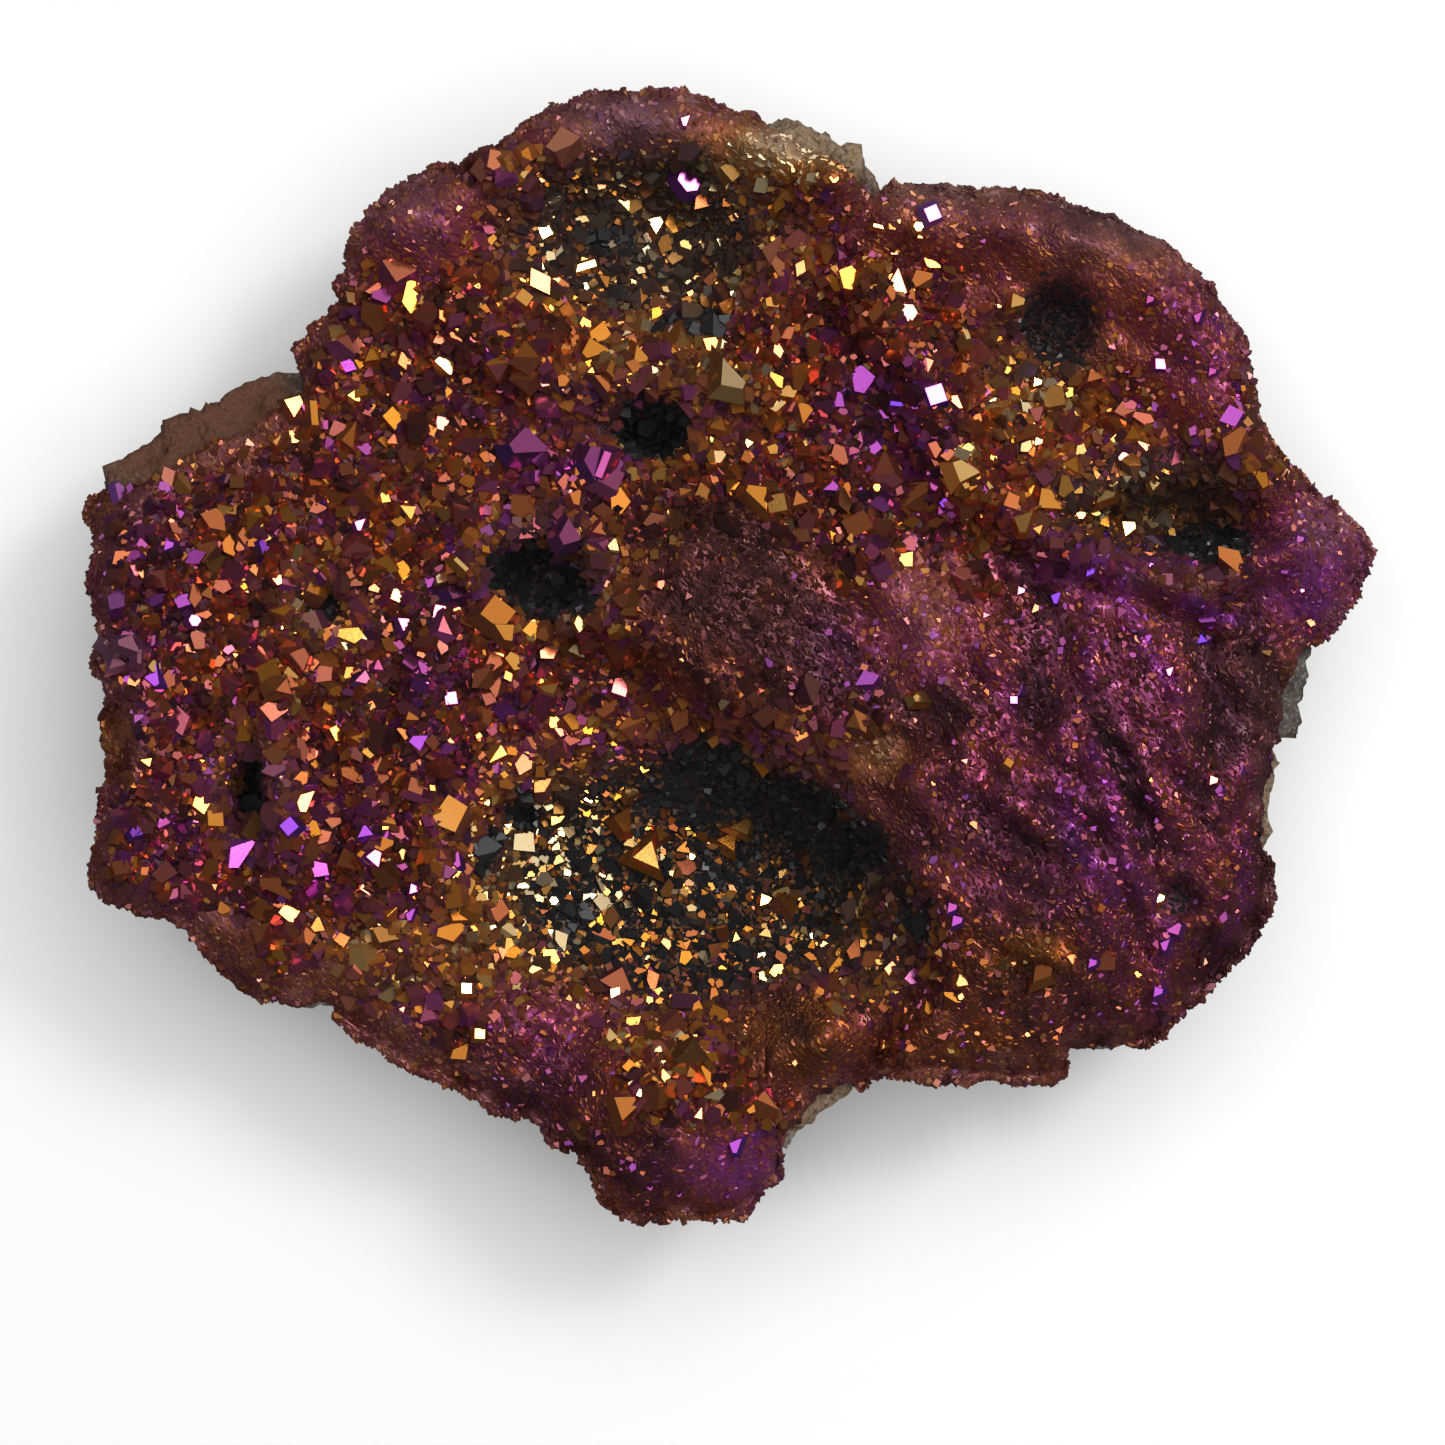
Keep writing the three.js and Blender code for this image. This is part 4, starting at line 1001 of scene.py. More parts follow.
growth = {
    "paintedLightSide": np.array([0.281, 0.270, 0.921]),    # painted light: faces turned this way, to the key light, are painted with a golder film
    "plainTurn": 0.80,          # how far towards it (a cosine) a face keeps its crystal's own film
    "faceSpread": 0.035,
    "awayShift": 0.06,          # the most that faces turned from the light are painted purpler
    "bluest": 0.78,
    "hollowTurn": (0.86, 0.95),  # in the hollows, faces turned less far than this are painted dark as shade
    "shadow": (0.4, 0.8),       # how deep the painted shadow on crystals shaded by their neighbours is
    "litShade": 0.4,
    "comb": (0.60, -0.80),      # the way that the druse's grains lie
    "combSpread": 0.4,          # radians
    "fineShun": 1.1,            # coarse crystals thin out as the ground turns fine
    "calmLean": 0.7,            # share of their lean that grains lose on calm ground
    "smallBias": 1.6,           # above 1, more of a class's crystals are small
    "leanShare": 0.6,
    "stretch": (0.8, 1.25),
    "goldAim": 0.075,           # how widely the glinting faces scatter about the light they mirror
    "violetAim": 0.035,
    "violetShift": (0, 0.32),
    "violetTones": (0.46, 0.84),
    "pitWander": 0.14,
    "pitFoot": (0, 0.2),
    "pitEdge": (0.38, 0.62),
    "singleCell": 0.004,        # metres, wider than the clear space about any single crystal
}


# Painted shade: crystals turned to the light, marked by a share below 0, keep most of their film's
# brightness under the painted shade, and the others take the deeper of the two painted shades.
def shadeShares(ground, own):
    return np.where(own < 0, ground * growth["litShade"], np.maximum(ground, own))


# Joins one crystal per place into a single mesh, with film, pit and polish values on its faces.
def growCrystals(options, kinds, places, axes, spins, sizes, tones, pitShares, random, stretch, comb, glints,
                 targets):
    hollowShares = readGrid(hollowGrid, *toPlan(places[:, 0], places[:, 1]))
    chosen = random.integers(0, len(kinds), len(places))
    matrices = turnMatrices(axes, spins, comb)
    allPoints, allCorners, allCounts, films, pitValues, paintedShades, polishes = [], [], [], [], [], [], []
    # Painted shadow: a share of the crystals is darkened as if shaded by their neighbours; glinting ones are
    # marked below 0.
    inShadow = random.random(len(places)) < options["shadowedShare"]
    shaded = np.where(inShadow, random.uniform(*growth["shadow"], len(places)), 0)
    shaded[glints] = -1
    offset = 0
    for index, (points, faces) in enumerate(kinds):
        members = np.where(chosen == index)[0]
        if not len(members):
            continue
        shape = points[None] * np.ones((len(members), 1, 1))
        shape[:, :, 2] *= stretch[members][:, None]
        aimed = members[glints[members]]
        tip = tipFace(points, faces)
        if len(aimed) and tip is not None:
            own = np.tile(tip, (len(aimed), 1))
            own[:, 2] /= stretch[aimed]
            own /= np.linalg.norm(own, axis=1)[:, None]
            matrices[aimed] = aimedMatrices(own, targets[aimed], axes[aimed])
        turned = np.einsum("nij,npj->npi", matrices[members], shape) * sizes[members][:, None, None]
        turned += places[members][:, None]
        allPoints.append(turned.reshape(-1, 3))
        for face in faces:
            corners = offset + np.arange(len(members))[:, None] * len(points) + face[None]
            allCorners.append(corners.ravel())
            allCounts.append(np.full(len(members), len(face)))
            first, second, third = (turned[:, corner] for corner in face[:3])
            normals = np.cross(second - first, third - first)
            normals /= np.linalg.norm(normals, axis=1)[:, None] + 1e-15
            # Painted light: faces turned to the key light are painted golder, faces turned away purpler.
            toward = normals @ growth["paintedLightSide"]
            turnShift = options["paintedLightShift"] * (growth["plainTurn"] - toward)
            tone = tones[members] + np.minimum(turnShift, growth["awayShift"])
            tone = tone + random.normal(0, growth["faceSpread"], len(members))
            films.append(np.minimum(tone, growth["bluest"]))
            # In the hollows, faces turned from the light are painted dark as shade.
            dark = hollowShares[members] * (1 - smooth(toward, *growth["hollowTurn"]))
            pitValues.append(np.maximum(pitShares[members], dark))
            paintedShades.append(shaded[members])
            polishes.append(random.random(len(members)))
        offset += len(members) * len(points)
    u, v = toPlan(*faceMiddles(allPoints, allCorners, allCounts))
    return arrayMesh(options["name"], np.concatenate(allPoints), np.concatenate(allCorners),
                     np.concatenate(allCounts),
                     {"film": np.concatenate(films), "pit": np.concatenate(pitValues),
                      "veil": readGrid(veilGrid, u, v), "soft": readGrid(softGrid, u, v),
                      "dim": shadeShares(readGrid(paintedShadeGrid, u, v), np.concatenate(paintedShades)),
                      "polish": np.concatenate(polishes)})


# Size classes in millimetres. tries is how many places are drawn, packing the share of the mean size kept
# clear between crystals, lean the degrees about the surface's normal, spread how much the film differs
# between crystals, and paintedLightShift how much golder the faces turned to the light are painted.
# shunsHollows and shunsCalm say how far a class stays off the hollows and the calm druse, shadowedShare is
# the share of crystals painted in shadow from their neighbours, and glints multiplies the share that turn
# a face to the light.
crystalClasses = [
    {"name": "large_points", "habit": "full", "fine": False, "sizes": (2.4, 3.3), "tries": 420,
     "packing": 0.95, "lean": 26, "spread": 0.13, "paintedLightShift": 0.45, "shunsHollows": 0.97, "shadowedShare": 0.15,
     "glints": 0.6},
    {"name": "middle_points", "habit": "full", "fine": False, "sizes": (1.5, 2.3), "tries": 7000,
     "packing": 0.74, "lean": 30, "spread": 0.14, "paintedLightShift": 0.45, "shunsHollows": 0.88, "shadowedShare": 0.25,
     "glints": 1},
    {"name": "small_points", "habit": "plain", "fine": False, "sizes": (0.9, 1.5), "tries": 36000,
     "packing": 0.64, "lean": 32, "spread": 0.13, "paintedLightShift": 0.45, "shunsHollows": 0.3, "shadowedShare": 0.4,
     "glints": 1},
    {"name": "seed_points", "habit": "plain", "fine": False, "sizes": (0.5, 0.9), "tries": 80000,
     "packing": 0.64, "lean": 34, "spread": 0.12, "paintedLightShift": 0.40, "shunsHollows": 0, "shadowedShare": 0.5,
     "glints": 1.1},
    {"name": "druse_points", "habit": "plain", "fine": True, "sizes": (0.55, 1.0), "tries": 9000,
     "packing": 0.95, "lean": 24, "spread": 0.08, "paintedLightShift": 0.25, "shunsCalm": 0.9, "shadowedShare": 0,
     "glints": 1.6},
    {"name": "druse_grains", "habit": "grain", "fine": True, "sizes": (0.55, 0.95), "tries": 120000,
     "packing": 0.59, "lean": 9, "spread": 0.05, "paintedLightShift": 0.15, "shunsCalm": 0, "shadowedShare": 0.1,
     "glints": 0.35},
]


# Single crystals whose broad face catches the light. A face is an outline of sides, each (turn, reach).
outlines = {
    "square": [(0, 0.5), (90, 0.5), (180, 0.5), (270, 0.5)],
    "bar": [(0, 0.5), (90, 0.14), (180, 0.5), (270, 0.14)],
    "triangle": [(10, 0.32), (130, 0.32), (245, 0.36)],
    "kite": [(20, 0.34), (75, 0.40), (160, 0.36), (262, 0.52)],
    "hexagon": [(0, 0.5), (55, 0.46), (120, 0.5), (180, 0.48), (242, 0.5), (300, 0.46)],
    "wedge": [(0, 0.5), (70, 0.30), (200, 0.46), (290, 0.34)],
}
# Place and width in plan units, outline, what it mirrors, film, turn in degrees, extra lift in millimetres.
singleCrystals = [
    ((603, 462), 38, "hexagon", "shaded", 0.70, 20, 0), ((611, 476), 22, "square", "shaded", 0.64, 25, 0.8),
    ((603, 464), 27, "bar", "lamp", 0.66, -22, 1.5),
    ((524, 442), 32, "wedge", "shaded", 0.68, 80, 0), ((497, 612), 27, "square", "key", 0.26, 12, 1.6),
    ((506, 633), 18, "kite", "key", 0.20, 60, 1.4), ((690, 173), 24, "hexagon", "window", 0.72, 10, 0),
    ((656, 211), 14, "kite", "window", 0.05, 40, 0), ((543, 225), 12, "square", "window", 0.05, 30, 0),
    ((582, 256), 24, "bar", "window", 0.10, 110, 0), ((592, 349), 22, "wedge", "key", 0.22, 95, 0),
    ((640, 356), 17, "triangle", "key", 0.20, 30, 0), ((606, 382), 18, "triangle", "key", 0.34, 80, 0),
    ((733, 380), 26, "wedge", "shaded", 0.06, 200, 0), ((757, 492), 22, "wedge", "key", 0.22, 20, 0),
    ((777, 502), 18, "square", "broad", 0.16, 10, 0), ((568, 536), 22, "kite", "shaded", 0.66, 0, 0.4),
    ((456, 588), 24, "kite", "shaded", 0.66, 0, 0), ((461, 564), 17, "bar", "key", 0.10, 5, 0.6),
    ((935, 396), 18, "square", "window", 0.76, 20, 0), ((898, 403), 15, "bar", "lamp", 1.00, 80, 0),
    ((908, 313), 17, "hexagon", "window", 0.50, 0, 0), ((899, 285), 20, "wedge", "window", 0.45, 40, 0),
    ((932, 215), 14, "square", "window", 0.74, 25, 0), ((918, 228), 9, "hexagon", "window", 0.12, 0, 0),
    ((293, 401), 17, "kite", "window", 0.30, 40, 0), ((312, 411), 26, "bar", "key", 0.22, -30, 0),
    ((335, 733), 15, "wedge", "window", 0.22, 10, 0), ((303, 803), 18, "wedge", "window", 0.36, 0, 0),
    ((290, 826), 14, "square", "lamp", 0.92, 40, 0), ((365, 832), 13, "triangle", "lamp", 0.86, 0, 0),
    ((375, 856), 14, "kite", "window", 0.62, 60, 0), ((450, 698), 12, "square", "window", 0.62, 10, 0),
    ((403, 622), 12, "triangle", "window", 0.60, 50, 0), ((416, 741), 15, "kite", "lamp", 0.84, 160, 0),
    ((152, 678), 16, "wedge", "lamp", 0.84, 30, 0), ((112, 486), 14, "wedge", "key", 0.80, 0, 0),
    ((646, 858), 25, "triangle", "gold", 0.15, 95, 1.4), ((745, 829), 17, "wedge", "gold", 0.14, 140, 0.4),
    ((622, 824), 21, "wedge", "key", 0.24, 150, 0.9), ((660, 838), 13, "triangle", "key", 0.20, 40, 0.9),
    ((729, 845), 19, "triangle", "gold", 0.20, 200, 0.4), ((790, 907), 20, "wedge", "key", 0.26, 0, 0),
    ((768, 906), 11, "kite", "window", 0.14, 0, 0), ((629, 1101), 22, "kite", "key", 0.30, 150, 0),
    ((618, 989), 26, "kite", "key", 0.42, 80, 0), ((478, 1036), 10, "square", "window", 0.16, 0, 0),
    ((921, 697), 17, "wedge", "key", 0.12, 60, 0), ((1160, 898), 10, "kite", "window", 0.10, 0, 0),
    ((1175, 928), 12, "wedge", "lamp", 0.72, 140, 0), ((1042, 970), 18, "kite", "broad", 0.34, 0, 0),
    ((961, 470), 22, "kite", "key", 0.10, 130, 0), ((1050, 496), 22, "kite", "key", 0.20, 100, 0),
    ((1163, 362), 10, "square", "window", 0.66, 0, 0), ((300, 655), 19, "kite", "key", 0.42, 190, 0),
    ((416, 786), 15, "square", "key", 0.42, 30, 0), ((388, 820), 13, "triangle", "key", 0.30, 0, 0),
    ((228, 782), 16, "triangle", "key", 0.20, 30, 0), ((212, 819), 16, "square", "key", 0.20, 50, 0),
    ((523, 294), 14, "square", "key", 0.18, 20, 0), ((1021, 298), 14, "kite", "key", 0.14, 0, 0),
    ((1140, 522), 13, "kite", "window", 0.10, 20, 0), ((1112, 490), 18, "kite", "broad", 0.08, 0, 0),
    ((465, 990), 10, "square", "window", 0.02, 0, 0), ((550, 905), 8, "hexagon", "window", 0.02, 0, 0),
    ((285, 688), 15, "triangle", "key", 0.38, 0, 0), ((628, 793), 14, "kite", "key", 0.12, 0, 0),
    ((1057, 598), 10, "wedge", "lamp", 0.96, 0, 0), ((1108, 537), 10, "square", "lamp", 0.92, 20, 0),
    ((1205, 639), 9, "triangle", "lamp", 1.00, 0, 0), ((1090, 572), 8, "kite", "lamp", 0.96, 0, 0),
    ((945, 502), 9, "hexagon", "lamp", 0.94, 0, 0), ((955, 918), 10, "kite", "lamp", 0.78, 0, 0),
    ((1150, 545), 8, "square", "lamp", 0.90, 0, 0), ((685, 122), 9, "wedge", "window", 0.60, 0, 0),
    ((1012, 700), 7, "square", "window", 0.70, 0, 0), ((1023, 590), 7, "kite", "window", 0.60, 0, 0),
    ((1195, 320), 8, "wedge", "lamp", 0.70, 0, 0), ((1212, 372), 7, "kite", "lamp", 0.70, 0, 0),
    ((1150, 300), 7, "kite", "lamp", 0.66, 0, 0), ((170, 545), 9, "kite", "lamp", 0.80, 0, 0),
    ((357, 524), 10, "wedge", "window", 0.62, 0, 0), ((320, 575), 9, "bar", "key", 0.60, 0, 0),
    ((262, 545), 12, "wedge", "key", 0.88, 0, 0), ((135, 832), 12, "kite", "key", 0.90, 0, 0),
    ((968, 327), 18, "bar", "key", 0.08, 20, 0), ((961, 482), 18, "bar", "key", 0.10, -20, 0),
    ((1022, 524), 18, "wedge", "broad", 0.16, 0, 0), ((985, 546), 13, "kite", "key", 0.14, 0, 0),
    ((1040, 411), 15, "wedge", "key", 0.50, 0, 0), ((1042, 378), 8, "kite", "window", 0.12, 0, 0),
    ((1042, 439), 7, "kite", "window", 0.14, 0, 0), ((879, 226), 11, "bar", "window", 0.14, 80, 0),
    ((878, 486), 7, "hexagon", "window", 0.24, 0, 0), ((873, 435), 8, "kite", "key", 0.64, 0, 0),
    ((1085, 512), 9, "hexagon", "window", 0.40, 0, 0), ((1100, 370), 16, "triangle", "key", 0.34, 10, 0),
    ((1160, 480), 11, "kite", "key", 0.10, 30, 0), ((1130, 490), 12, "triangle", "key", 0.08, 50, 0),
    ((950, 905), 9, "kite", "lamp", 0.72, 0, 0), ((1092, 962), 8, "kite", "lamp", 0.76, 0, 0),
    ((1163, 945), 9, "wedge", "lamp", 0.76, 0, 0), ((1160, 992), 9, "kite", "lamp", 0.80, 0, 0),
    ((1298, 540), 7, "kite", "lamp", 0.74, 0, 0), ((1168, 672), 7, "wedge", "window", 0.60, 0, 0),
    ((928, 1008), 11, "kite", "key", 0.22, 0, 0), ((889, 1048), 8, "kite", "window", 0.18, 0, 0),
    ((112, 647), 20, "bar", "shaded", 0.62, 20, 0.4), ((128, 643), 18, "wedge", "shaded", 0.60, 60, 0.3),
    ((116, 662), 14, "triangle", "broad", 0.60, 10, 0.3), ((140, 656), 16, "bar", "shaded", 0.58, -40, 0.4),
    ((193, 620), 11, "hexagon", "window", 0.62, 0, 0), ((455, 862), 12, "wedge", "lamp", 0.74, 30, 0),
    ((413, 890), 9, "kite", "window", 0.66, 0, 0), ((600, 530), 13, "triangle", "key", 0.40, 0, 0),
    ((735, 1146), 12, "wedge", "lamp", 0.82, 0, 0), ((610, 1038), 11, "kite", "key", 0.10, 0, 0),
    ((1213, 780), 8, "kite", "window", 0.50, 0, 0), ((1005, 762), 8, "square", "key", 0.20, 0, 0),
    ((243, 873), 9, "kite", "key", 0.20, 0, 0), ((407, 917), 10, "wedge", "lamp", 0.80, 0, 0),
]
# The point of each light, in metres, that a glinting face mirrors up at the viewer.
mirrors = {"key": (0.385, 0.420, 0.400), "shaded": (0.385, 0.420, 0.400), "window": (0.450, 0.315, 0.713),
           "broad": (0.05, 0.45, 0.90), "lamp": (-0.405, 0.270, 0.756), "gold": (0.362, 0.348, 0.487)}
viewer = (0.0, -0.0077, 0.491)


# The normals that mirror a light at the viewer from each place.
def mirrorNormals(places, light):
    ways = np.zeros(places.shape)
    for end in (mirrors[light], viewer):
        way = np.array(end) - places
        ways = ways + way / np.linalg.norm(way, axis=1)[:, None]
    return ways / np.linalg.norm(ways, axis=1)[:, None]


singleHabit = {
    "depth": 0.55,              # shares of the width
    "seat": 0.22,
    "lift": 0.5,                # millimetres
    "bevel": (52, 68),          # degrees, tilt of the sides
    "aim": 0.010,
    "sideShift": 0.12,          # the sides' film, turned from the light, is painted this much nearer to violet
    "sideSpread": 0.06,
    "mostFilm": 0.9,
    # painted shade on the single crystals that mirror the key light
    "paintedShades": {"shaded": 0.5, "key": 0.15},
}


def growSingles(material, random):
    habit = singleHabit
    points, corners, counts, films, veilShares, paintedShades = [], [], [], [], [], []
    places, sizes, offset = [], [], 0
    for at, width, outline, mirror, tone, turn, lift in singleCrystals:
        planes = [(np.array([0, 0, 1.0]), 0.0), (np.array([0, 0, -1.0]), habit["depth"])]
        for angle, reach in outlines[outline]:
            tilt = math.radians(random.uniform(*habit["bevel"]))
            planes.append((direction(tilt, math.radians(angle)), reach * math.sin(tilt)))
        shape, faces = crystalFromPlanes(planes)
        size = width * unit
        u, v = np.array([float(at[0])]), np.array([float(at[1])])
        place = np.array([*(c[0] for c in fromPlan(u, v)), readGrid(heightGrid, u, v)[0]])
        place[2] += habit["seat"] * size + (habit["lift"] + lift) * millimetre
        axis = mirrorNormals(place[None], mirror) + random.normal(0, habit["aim"], 3)
        axis /= np.linalg.norm(axis)
        matrix = turnMatrices(axis, np.array([math.radians(turn)]))[0]
        points.append((shape * size) @ matrix.T + place)
        for number, face in enumerate(faces):
            corners.extend(face + offset)
            counts.append(len(face))
            veilShares.append(readGrid(veilGrid, u, v)[0])
            paintedShades.append(habit["paintedShades"].get(mirror, 0))
            side = min(habit["mostFilm"], tone + habit["sideShift"])
            films.append(tone if number == 0 else side + random.normal(0, habit["sideSpread"]))
        offset += len(shape)
        places.append(place)
        sizes.append(size)
    zeros = np.zeros(len(counts))
    piece = arrayMesh("single_points", np.concatenate(points), corners, counts,
                      {"film": films, "veil": veilShares, "dim": paintedShades,
                       "pit": zeros, "soft": zeros, "polish": zeros})
    piece.data.materials.append(material)
    return piece, places, sizes


def lean(normals, degrees, random):
    spread = math.tan(math.radians(degrees)) * growth["leanShare"]
    axes = normals + random.normal(0, spread, normals.shape)
    return axes / np.linalg.norm(axes, axis=1)[:, None]


def growClass(options, kinds, spacing, material, random):
    def weight(u, v):
        ground = readGrid(fineGrid, u, v)
        if options["fine"]:
            return ground * (1 - options["shunsCalm"] * readGrid(calmGrid, u, v))
        hollow = readGrid(hollowGrid, u, v) * options["shunsHollows"]
        return np.maximum(0, 1 - ground * growth["fineShun"]) * (1 - hollow)

    places, normals = sampleSkin(options["tries"], random, weight)
    low, high = options["sizes"]
    sizes = (low + (high - low) * random.random(len(places)) ** growth["smallBias"]) * millimetre
    kept = spacing.thin(places, sizes, options["packing"])
    places, normals, sizes = places[kept], normals[kept], sizes[kept]
    count = len(kept)
    u, v = toPlan(places[:, 0], places[:, 1])
    calm = readGrid(calmGrid, u, v)[:, None] if options["fine"] else 0
    upright = growth["calmLean"]
    axes = lean(normals, options["lean"], random) * (1 - upright * calm) + normals * upright * calm
    axes /= np.linalg.norm(axes, axis=1)[:, None]
    tones = readGrid(filmGrid, u, v) + random.normal(0, options["spread"], count)
    # Some crystals turn their broadest face so that it mirrors the key light or the lamp at the viewer.
    draw = random.random(count)
    golden = draw < readGrid(goldGlintGrid, u, v) * options["glints"]
    violet = draw > 1 - readGrid(violetGlintGrid, u, v) * options["glints"]
    targets = np.where(golden[:, None], mirrorNormals(places, "gold"), mirrorNormals(places, "lamp"))
    scatter = np.where(golden, growth["goldAim"], growth["violetAim"])[:, None]
    targets = targets + random.normal(0, 1, targets.shape) * scatter
    targets /= np.linalg.norm(targets, axis=1)[:, None]
    violetTones = np.clip(tones + random.uniform(*growth["violetShift"], count), *growth["violetTones"])
    tones = np.where(violet, violetTones, tones)
    pitShares = readGrid(pitGrid, u, v)
    pitWander = random.normal(0, growth["pitWander"], count) * smooth(pitShares, *growth["pitFoot"])
    pitShares = smooth(pitShares + pitWander, *growth["pitEdge"])
    stretch = random.uniform(*growth["stretch"], count)
    comb = growth["comb"] if options["fine"] else None
    spins = random.normal(0, growth["combSpread"], count) if comb else random.uniform(0, fullTurn, count)
    piece = growCrystals(options, kinds, places, axes, spins, sizes, tones, pitShares, random, stretch,
                         comb, golden | violet, targets)
    piece.data.materials.append(material)
    print(options["name"], count, "crystals,", triangleCount(piece.data), "triangles")
    return piece


print("crystals")
random = np.random.default_rng(12)
film = filmMaterial("metal film on crystal", filmFinish["roughness"])
druseFilm = filmMaterial("metal film on druse", filmFinish["druseRoughness"])
fullKinds = crystalKinds(random)
plainKinds = crystalKinds(random, simple=True)
grainKinds = grainShapes(random)
spacing = Spacing()
singles, places, sizes = growSingles(film, random)
singleLevel = spacing.openLevel(growth["singleCell"])
for place, size in zip(places, sizes):
    spacing.keep(singleLevel, place.tolist(), size)
crystalPieces = [singles]
kindsOf = {"full": fullKinds, "plain": plainKinds, "grain": grainKinds}
for options in crystalClasses:
    material = druseFilm if options["habit"] == "grain" else film
    crystalPieces.append(growClass(options, kindsOf[options["habit"]], spacing, material, random))

# The skin is painted dark as shade in the gaps between the coarse crystals, and shows in the druse's own
# colours elsewhere.
u, v = toPlan(*skinPoints[skinTriangles].mean(1)[:, :2].T)
gapPaintedShade = np.clip(readGrid(pitGrid, u, v) + skin["gapShade"] - readGrid(fineGrid, u, v), 0, skin["mostGap"])
skinPiece = arrayMesh("crust_skin", skinPoints, skinTriangles.ravel(), np.full(len(skinTriangles), 3),
                      {"film": readGrid(filmGrid, u, v) + skin["filmShift"], "pit": gapPaintedShade,
                       "veil": readGrid(veilGrid, u, v), "dim": readGrid(paintedShadeGrid, u, v),
                       "soft": readGrid(softGrid, u, v), "polish": np.full(len(u), skin["polish"])},
                      smoothShaded=True)
skinPiece.data.materials.append(druseFilm)

for piece in crystalPieces + [skinPiece]:
    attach(piece, "root")
    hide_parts("crystal_crust")


# The rock: the CAD body, remeshed fine and roughened, its underside left flat.
rock = {
    "voxel": 0.0008,
    "roughness": 0.0010,
    "wear": [(90, 3.7, 5, 0.9), (1100, 8.1, 2, 0.18)],      # noises: scale, shift, octaves, strength
    "chips": [(110, 0, 1.3), (300, 0.07, 0.6)],             # cells to the metre, shift, depth
    "chipRidge": 0.25,          # chips stand up along their edges
    "pushLimits": (-2.4, 0.4),
    "fill": 0.0009,             # how far the rock's upper part stands out to meet the crust
    "fillRise": (0.008, 0.020),
    "bareFill": 0.0024,         # and how much further where it is bare
    "bareRise": (0.010, 0.022),
    "bareWidths": (1.6, 5),     # millimetres
    "stainRise": (0.008, 0.021),
    "stainEdge": (0.4, 1.2),
    "flatBelow": 0.0006,
    "cover": 0.0013,            # least depth of the rock's top under the crystal surface
}


# Chips: each cell of the rock is broken back by its own amount and leans its own way.
def chipDepth(points, scale):
    depth = np.empty(len(points))
    for i, point in enumerate((points * scale).tolist()):
        distances, sites = noise.voronoi(point)
        site = sites[0]
        hold = noise.cell_vector(site * 7.3)
        depth[i] = 0.5 + 0.5 * hold.x + (Vector(point) - site).dot(hold)
        depth[i] -= rock["chipRidge"] * max(0, 1 - (distances[1] - distances[0]) / rock["chipRidge"])
    return depth


def readVectors(items, label):
    values = np.empty(len(items) * 3, np.float32)
    items.foreach_get(label, values)
    return values.reshape(-1, 3)


def buildRock():
    piece = bpy.data.objects.new("rock_body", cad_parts["matrix"].data.copy())
    bpy.context.collection.objects.link(piece)
    remesh = piece.modifiers.new("even mesh", "REMESH")
    remesh.mode = "VOXEL"
    remesh.voxel_size = rock["voxel"]
    shaped = piece.evaluated_get(bpy.context.evaluated_depsgraph_get())
    mesh = bpy.data.meshes.new_from_object(shaped)
    piece.modifiers.clear()
    piece.data = mesh
    piece.data.materials.clear()
    points = readVectors(mesh.vertices, "co").astype(float)
    normals = readVectors(mesh.vertex_normals, "vector")
    u, v = toPlan(points[:, 0], points[:, 1])
    height = points[:, 2]
    push = np.zeros(len(points))
    for scale, shift, octaves, strength in rock["wear"]:
        push += noiseOf(points * scale + shift, octaves) * strength
    for scale, shift, depth in rock["chips"]:
        push -= chipDepth(points + shift, scale) * depth
    push = np.clip(push, *rock["pushLimits"]) * rock["roughness"]
    push = push + rock["fill"] * smooth(height, *rock["fillRise"])
    moved = points + normals * push[:, None]
    bare = smooth(stretchWidth(bareStretches, u, v), *rock["bareWidths"])
    bareFill = rock["bareFill"] * bare * smooth(height, *rock["bareRise"])
    moved[:, :2] += normals[:, :2] * bareFill[:, None]
    moved[:, 2] = np.where(height < rock["flatBelow"], 0, np.maximum(moved[:, 2], 0))
    ceiling = readGrid(heightGrid, u, v) - rock["cover"]
    covered = readGrid(insideGrid, u, v) > 0.5
    moved[:, 2] = np.where(covered, np.minimum(moved[:, 2], np.maximum(ceiling, 0)), moved[:, 2])
    mesh.vertices.foreach_set("co", moved.astype(np.float32).ravel())
    for label, patches in rockFinish["patches"].items():
        share = patchMost(patches, u, v, *rock["stainEdge"]) * smooth(height, *rock["stainRise"])
        attribute = mesh.attributes.new(label, "FLOAT", "POINT")
        attribute.data.foreach_set("value", share.astype(np.float32))
    mesh.polygons.foreach_set("use_smooth", np.ones(len(mesh.polygons), bool))
    mesh.update()
    print("rock_body", triangleCount(mesh), "triangles")
    return piece


print("rock")
rockPiece = buildRock()
rockPiece.data.materials.append(rockMaterial())
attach(rockPiece, "root")
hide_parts("matrix")


# Floor, lights and camera.
studio = {
    "floorSize": 3.0,
    "floorColour": (0.90, 0.90, 0.89),
    "sky": 0.042,
    "skyBlue": 1.08,
    "backdrop": 0.88,
    "daylight": 2.5,
    "daylightWay": (0.15, 0.15, 1),
    "daylightSpread": 80,       # degrees
}
# Name, way to it, distance, size, and brightness as seen in a mirror.
softBoxes = [
    ("broad", (0.05, 0.45, 0.9), 1.0, (1.0, 0.9), 0.10),
    ("key", (0.517, 0.497, 0.696), 0.7, (0.62, 0.54), 0.80),
    ("window", (0.500, 0.350, 0.792), 0.9, (0.19, 0.20), 14.0),
    ("lamp", (-0.450, 0.300, 0.840), 0.9, (0.24, 0.22), 1.7),
    ("side fill", (-0.75, 0.25, 0.6), 0.8, (0.5, 0.4), 0.16),
    ("low fill", (0.1, -0.8, 0.6), 0.8, (0.6, 0.4), 0.12),
]


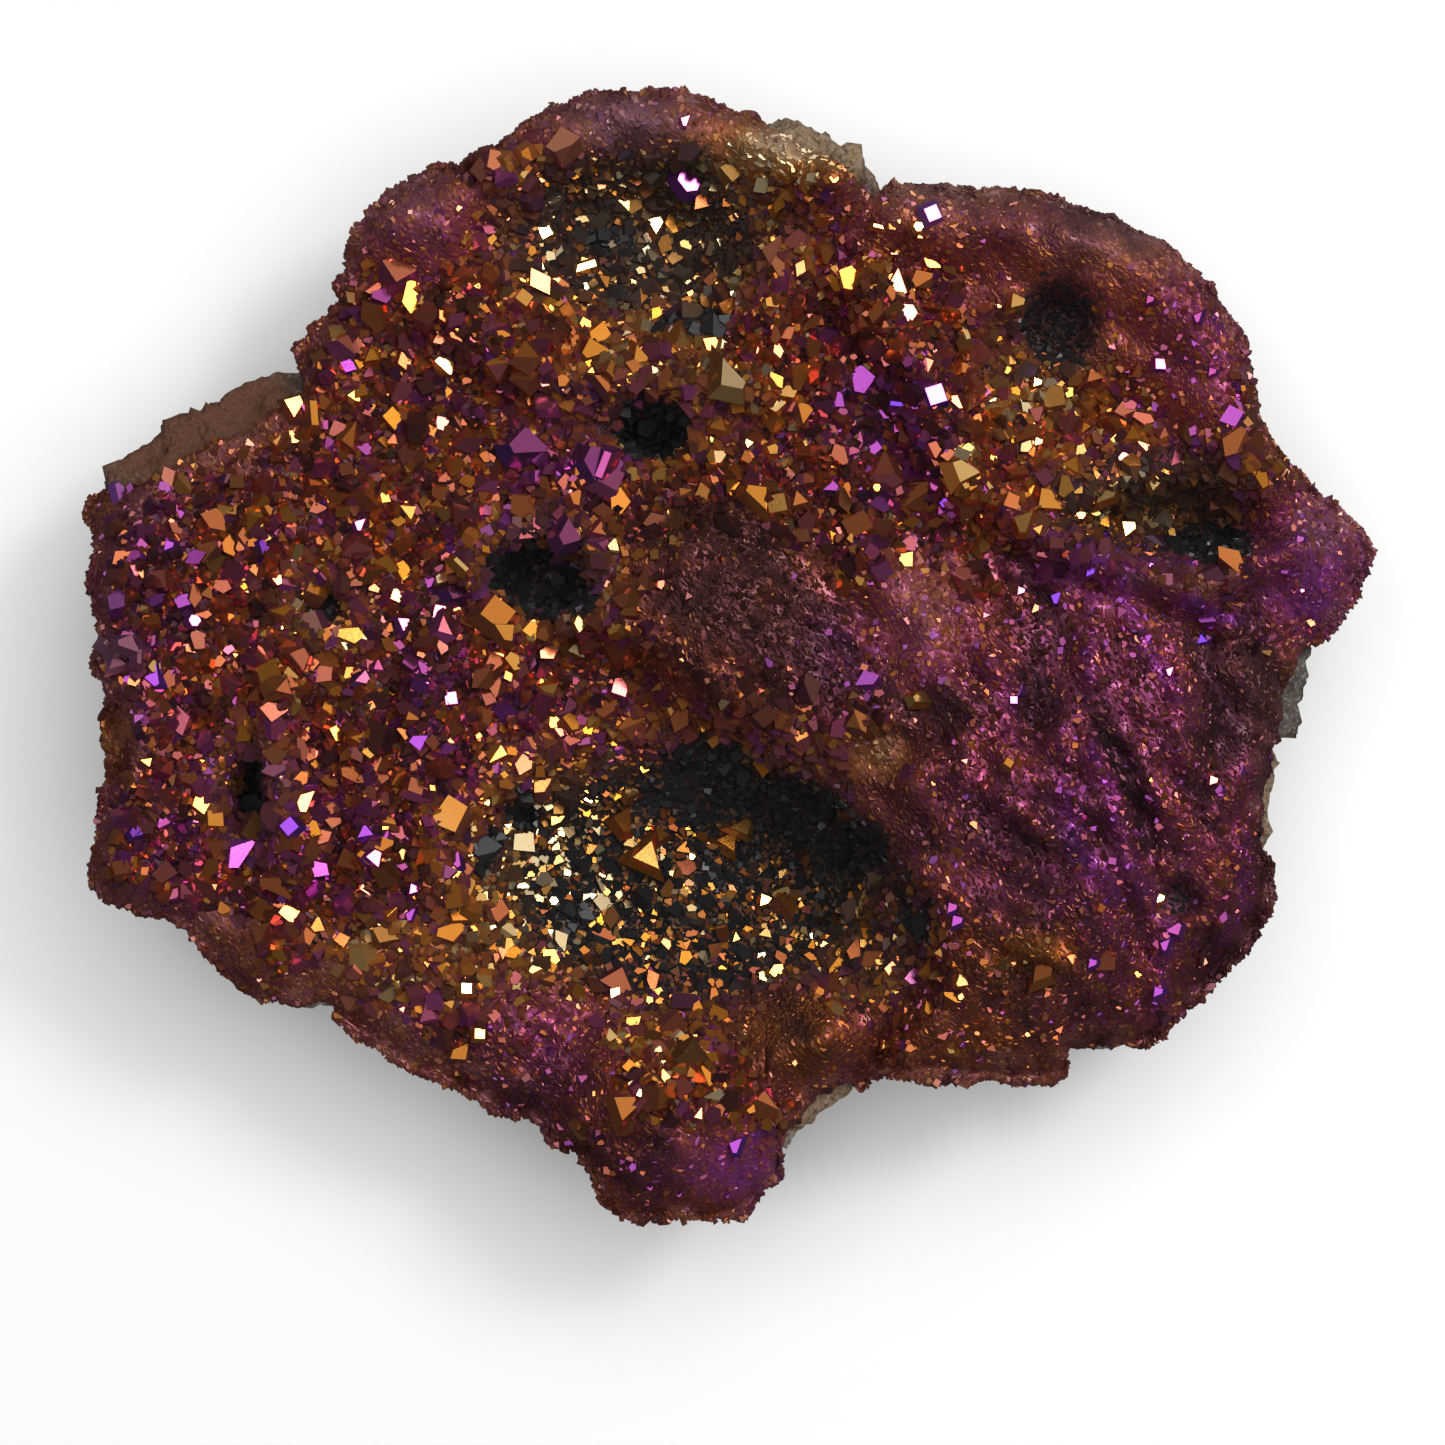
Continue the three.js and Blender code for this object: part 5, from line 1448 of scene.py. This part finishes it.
def addFloor():
    half = studio["floorSize"] / 2
    floor = arrayMesh("floor", [(-half, -half, 0), (half, -half, 0), (half, half, 0), (-half, half, 0)],
                      [0, 1, 2, 3], [4])
    shader = Shader("pale floor")
    closure = shader.add("ShaderNodeBsdfPrincipled", {}, {
        "Base Color": (*studio["floorColour"], 1), "Roughness": 0.9, "Specular IOR Level": 0.0})
    floor.data.materials.append(shader.surface(closure))
    floor.visible_glossy = False


# A light that shines back along a way from the slab.
def addLight(name, kind, toward, energy):
    data = bpy.data.lights.new(name, kind)
    data.energy = energy
    light = bpy.data.objects.new(name, data)
    bpy.context.collection.objects.link(light)
    light.rotation_euler = toward.to_track_quat("Z", "Y").to_euler()
    return light


def addSoftBox(name, toward, distance, size, brightness):
    toward = Vector(toward).normalized()
    light = addLight(name, "AREA", toward, brightness * math.pi * size[0] * size[1])
    light.location = toward * distance
    light.data.shape = "RECTANGLE"
    light.data.size, light.data.size_y = size


# Even light from above for the floor and the rock, which the crystals don't mirror.
def addDaylight():
    light = addLight("daylight", "SUN", Vector(studio["daylightWay"]), studio["daylight"])
    light.data.angle = math.radians(studio["daylightSpread"])
    light.visible_glossy = False


def addWorld():
    world = bpy.data.worlds.new("studio")
    bpy.context.scene.world = world
    shader = Shader("studio", world)
    seen = shader.add("ShaderNodeLightPath", output="Is Camera Ray")
    dim, pale = studio["sky"], studio["backdrop"]
    colour = shader.mix(seen, (dim, dim, dim * studio["skyBlue"], 1), (pale, pale, pale, 1))
    glow = shader.add("ShaderNodeBackground", {}, {"Color": colour})
    shader.add("ShaderNodeOutputWorld", {}, {"Surface": glow})


print("studio")
addFloor()
addWorld()
for softBox in softBoxes:
    addSoftBox(*softBox)
addDaylight()

view = {
    "frameUnits": 1445,             # plan units across the camera's square frame, at the rim's height
    "frameMiddle": (722.5, 722.5),
    "rimHeight": 0.031,
    "distance": 0.46,
    "sensor": 36.0,
}


def addCamera():
    data = bpy.data.cameras.new("camera")
    data.sensor_width = view["sensor"]
    data.lens = view["sensor"] * view["distance"] / (view["frameUnits"] * unit)
    camera = bpy.data.objects.new("camera", data)
    bpy.context.collection.objects.link(camera)
    camera.location = (*fromPlan(*view["frameMiddle"]), view["rimHeight"] + view["distance"])
    bpy.context.scene.camera = camera


addCamera()
bpy.context.scene.view_settings.view_transform = "Standard"
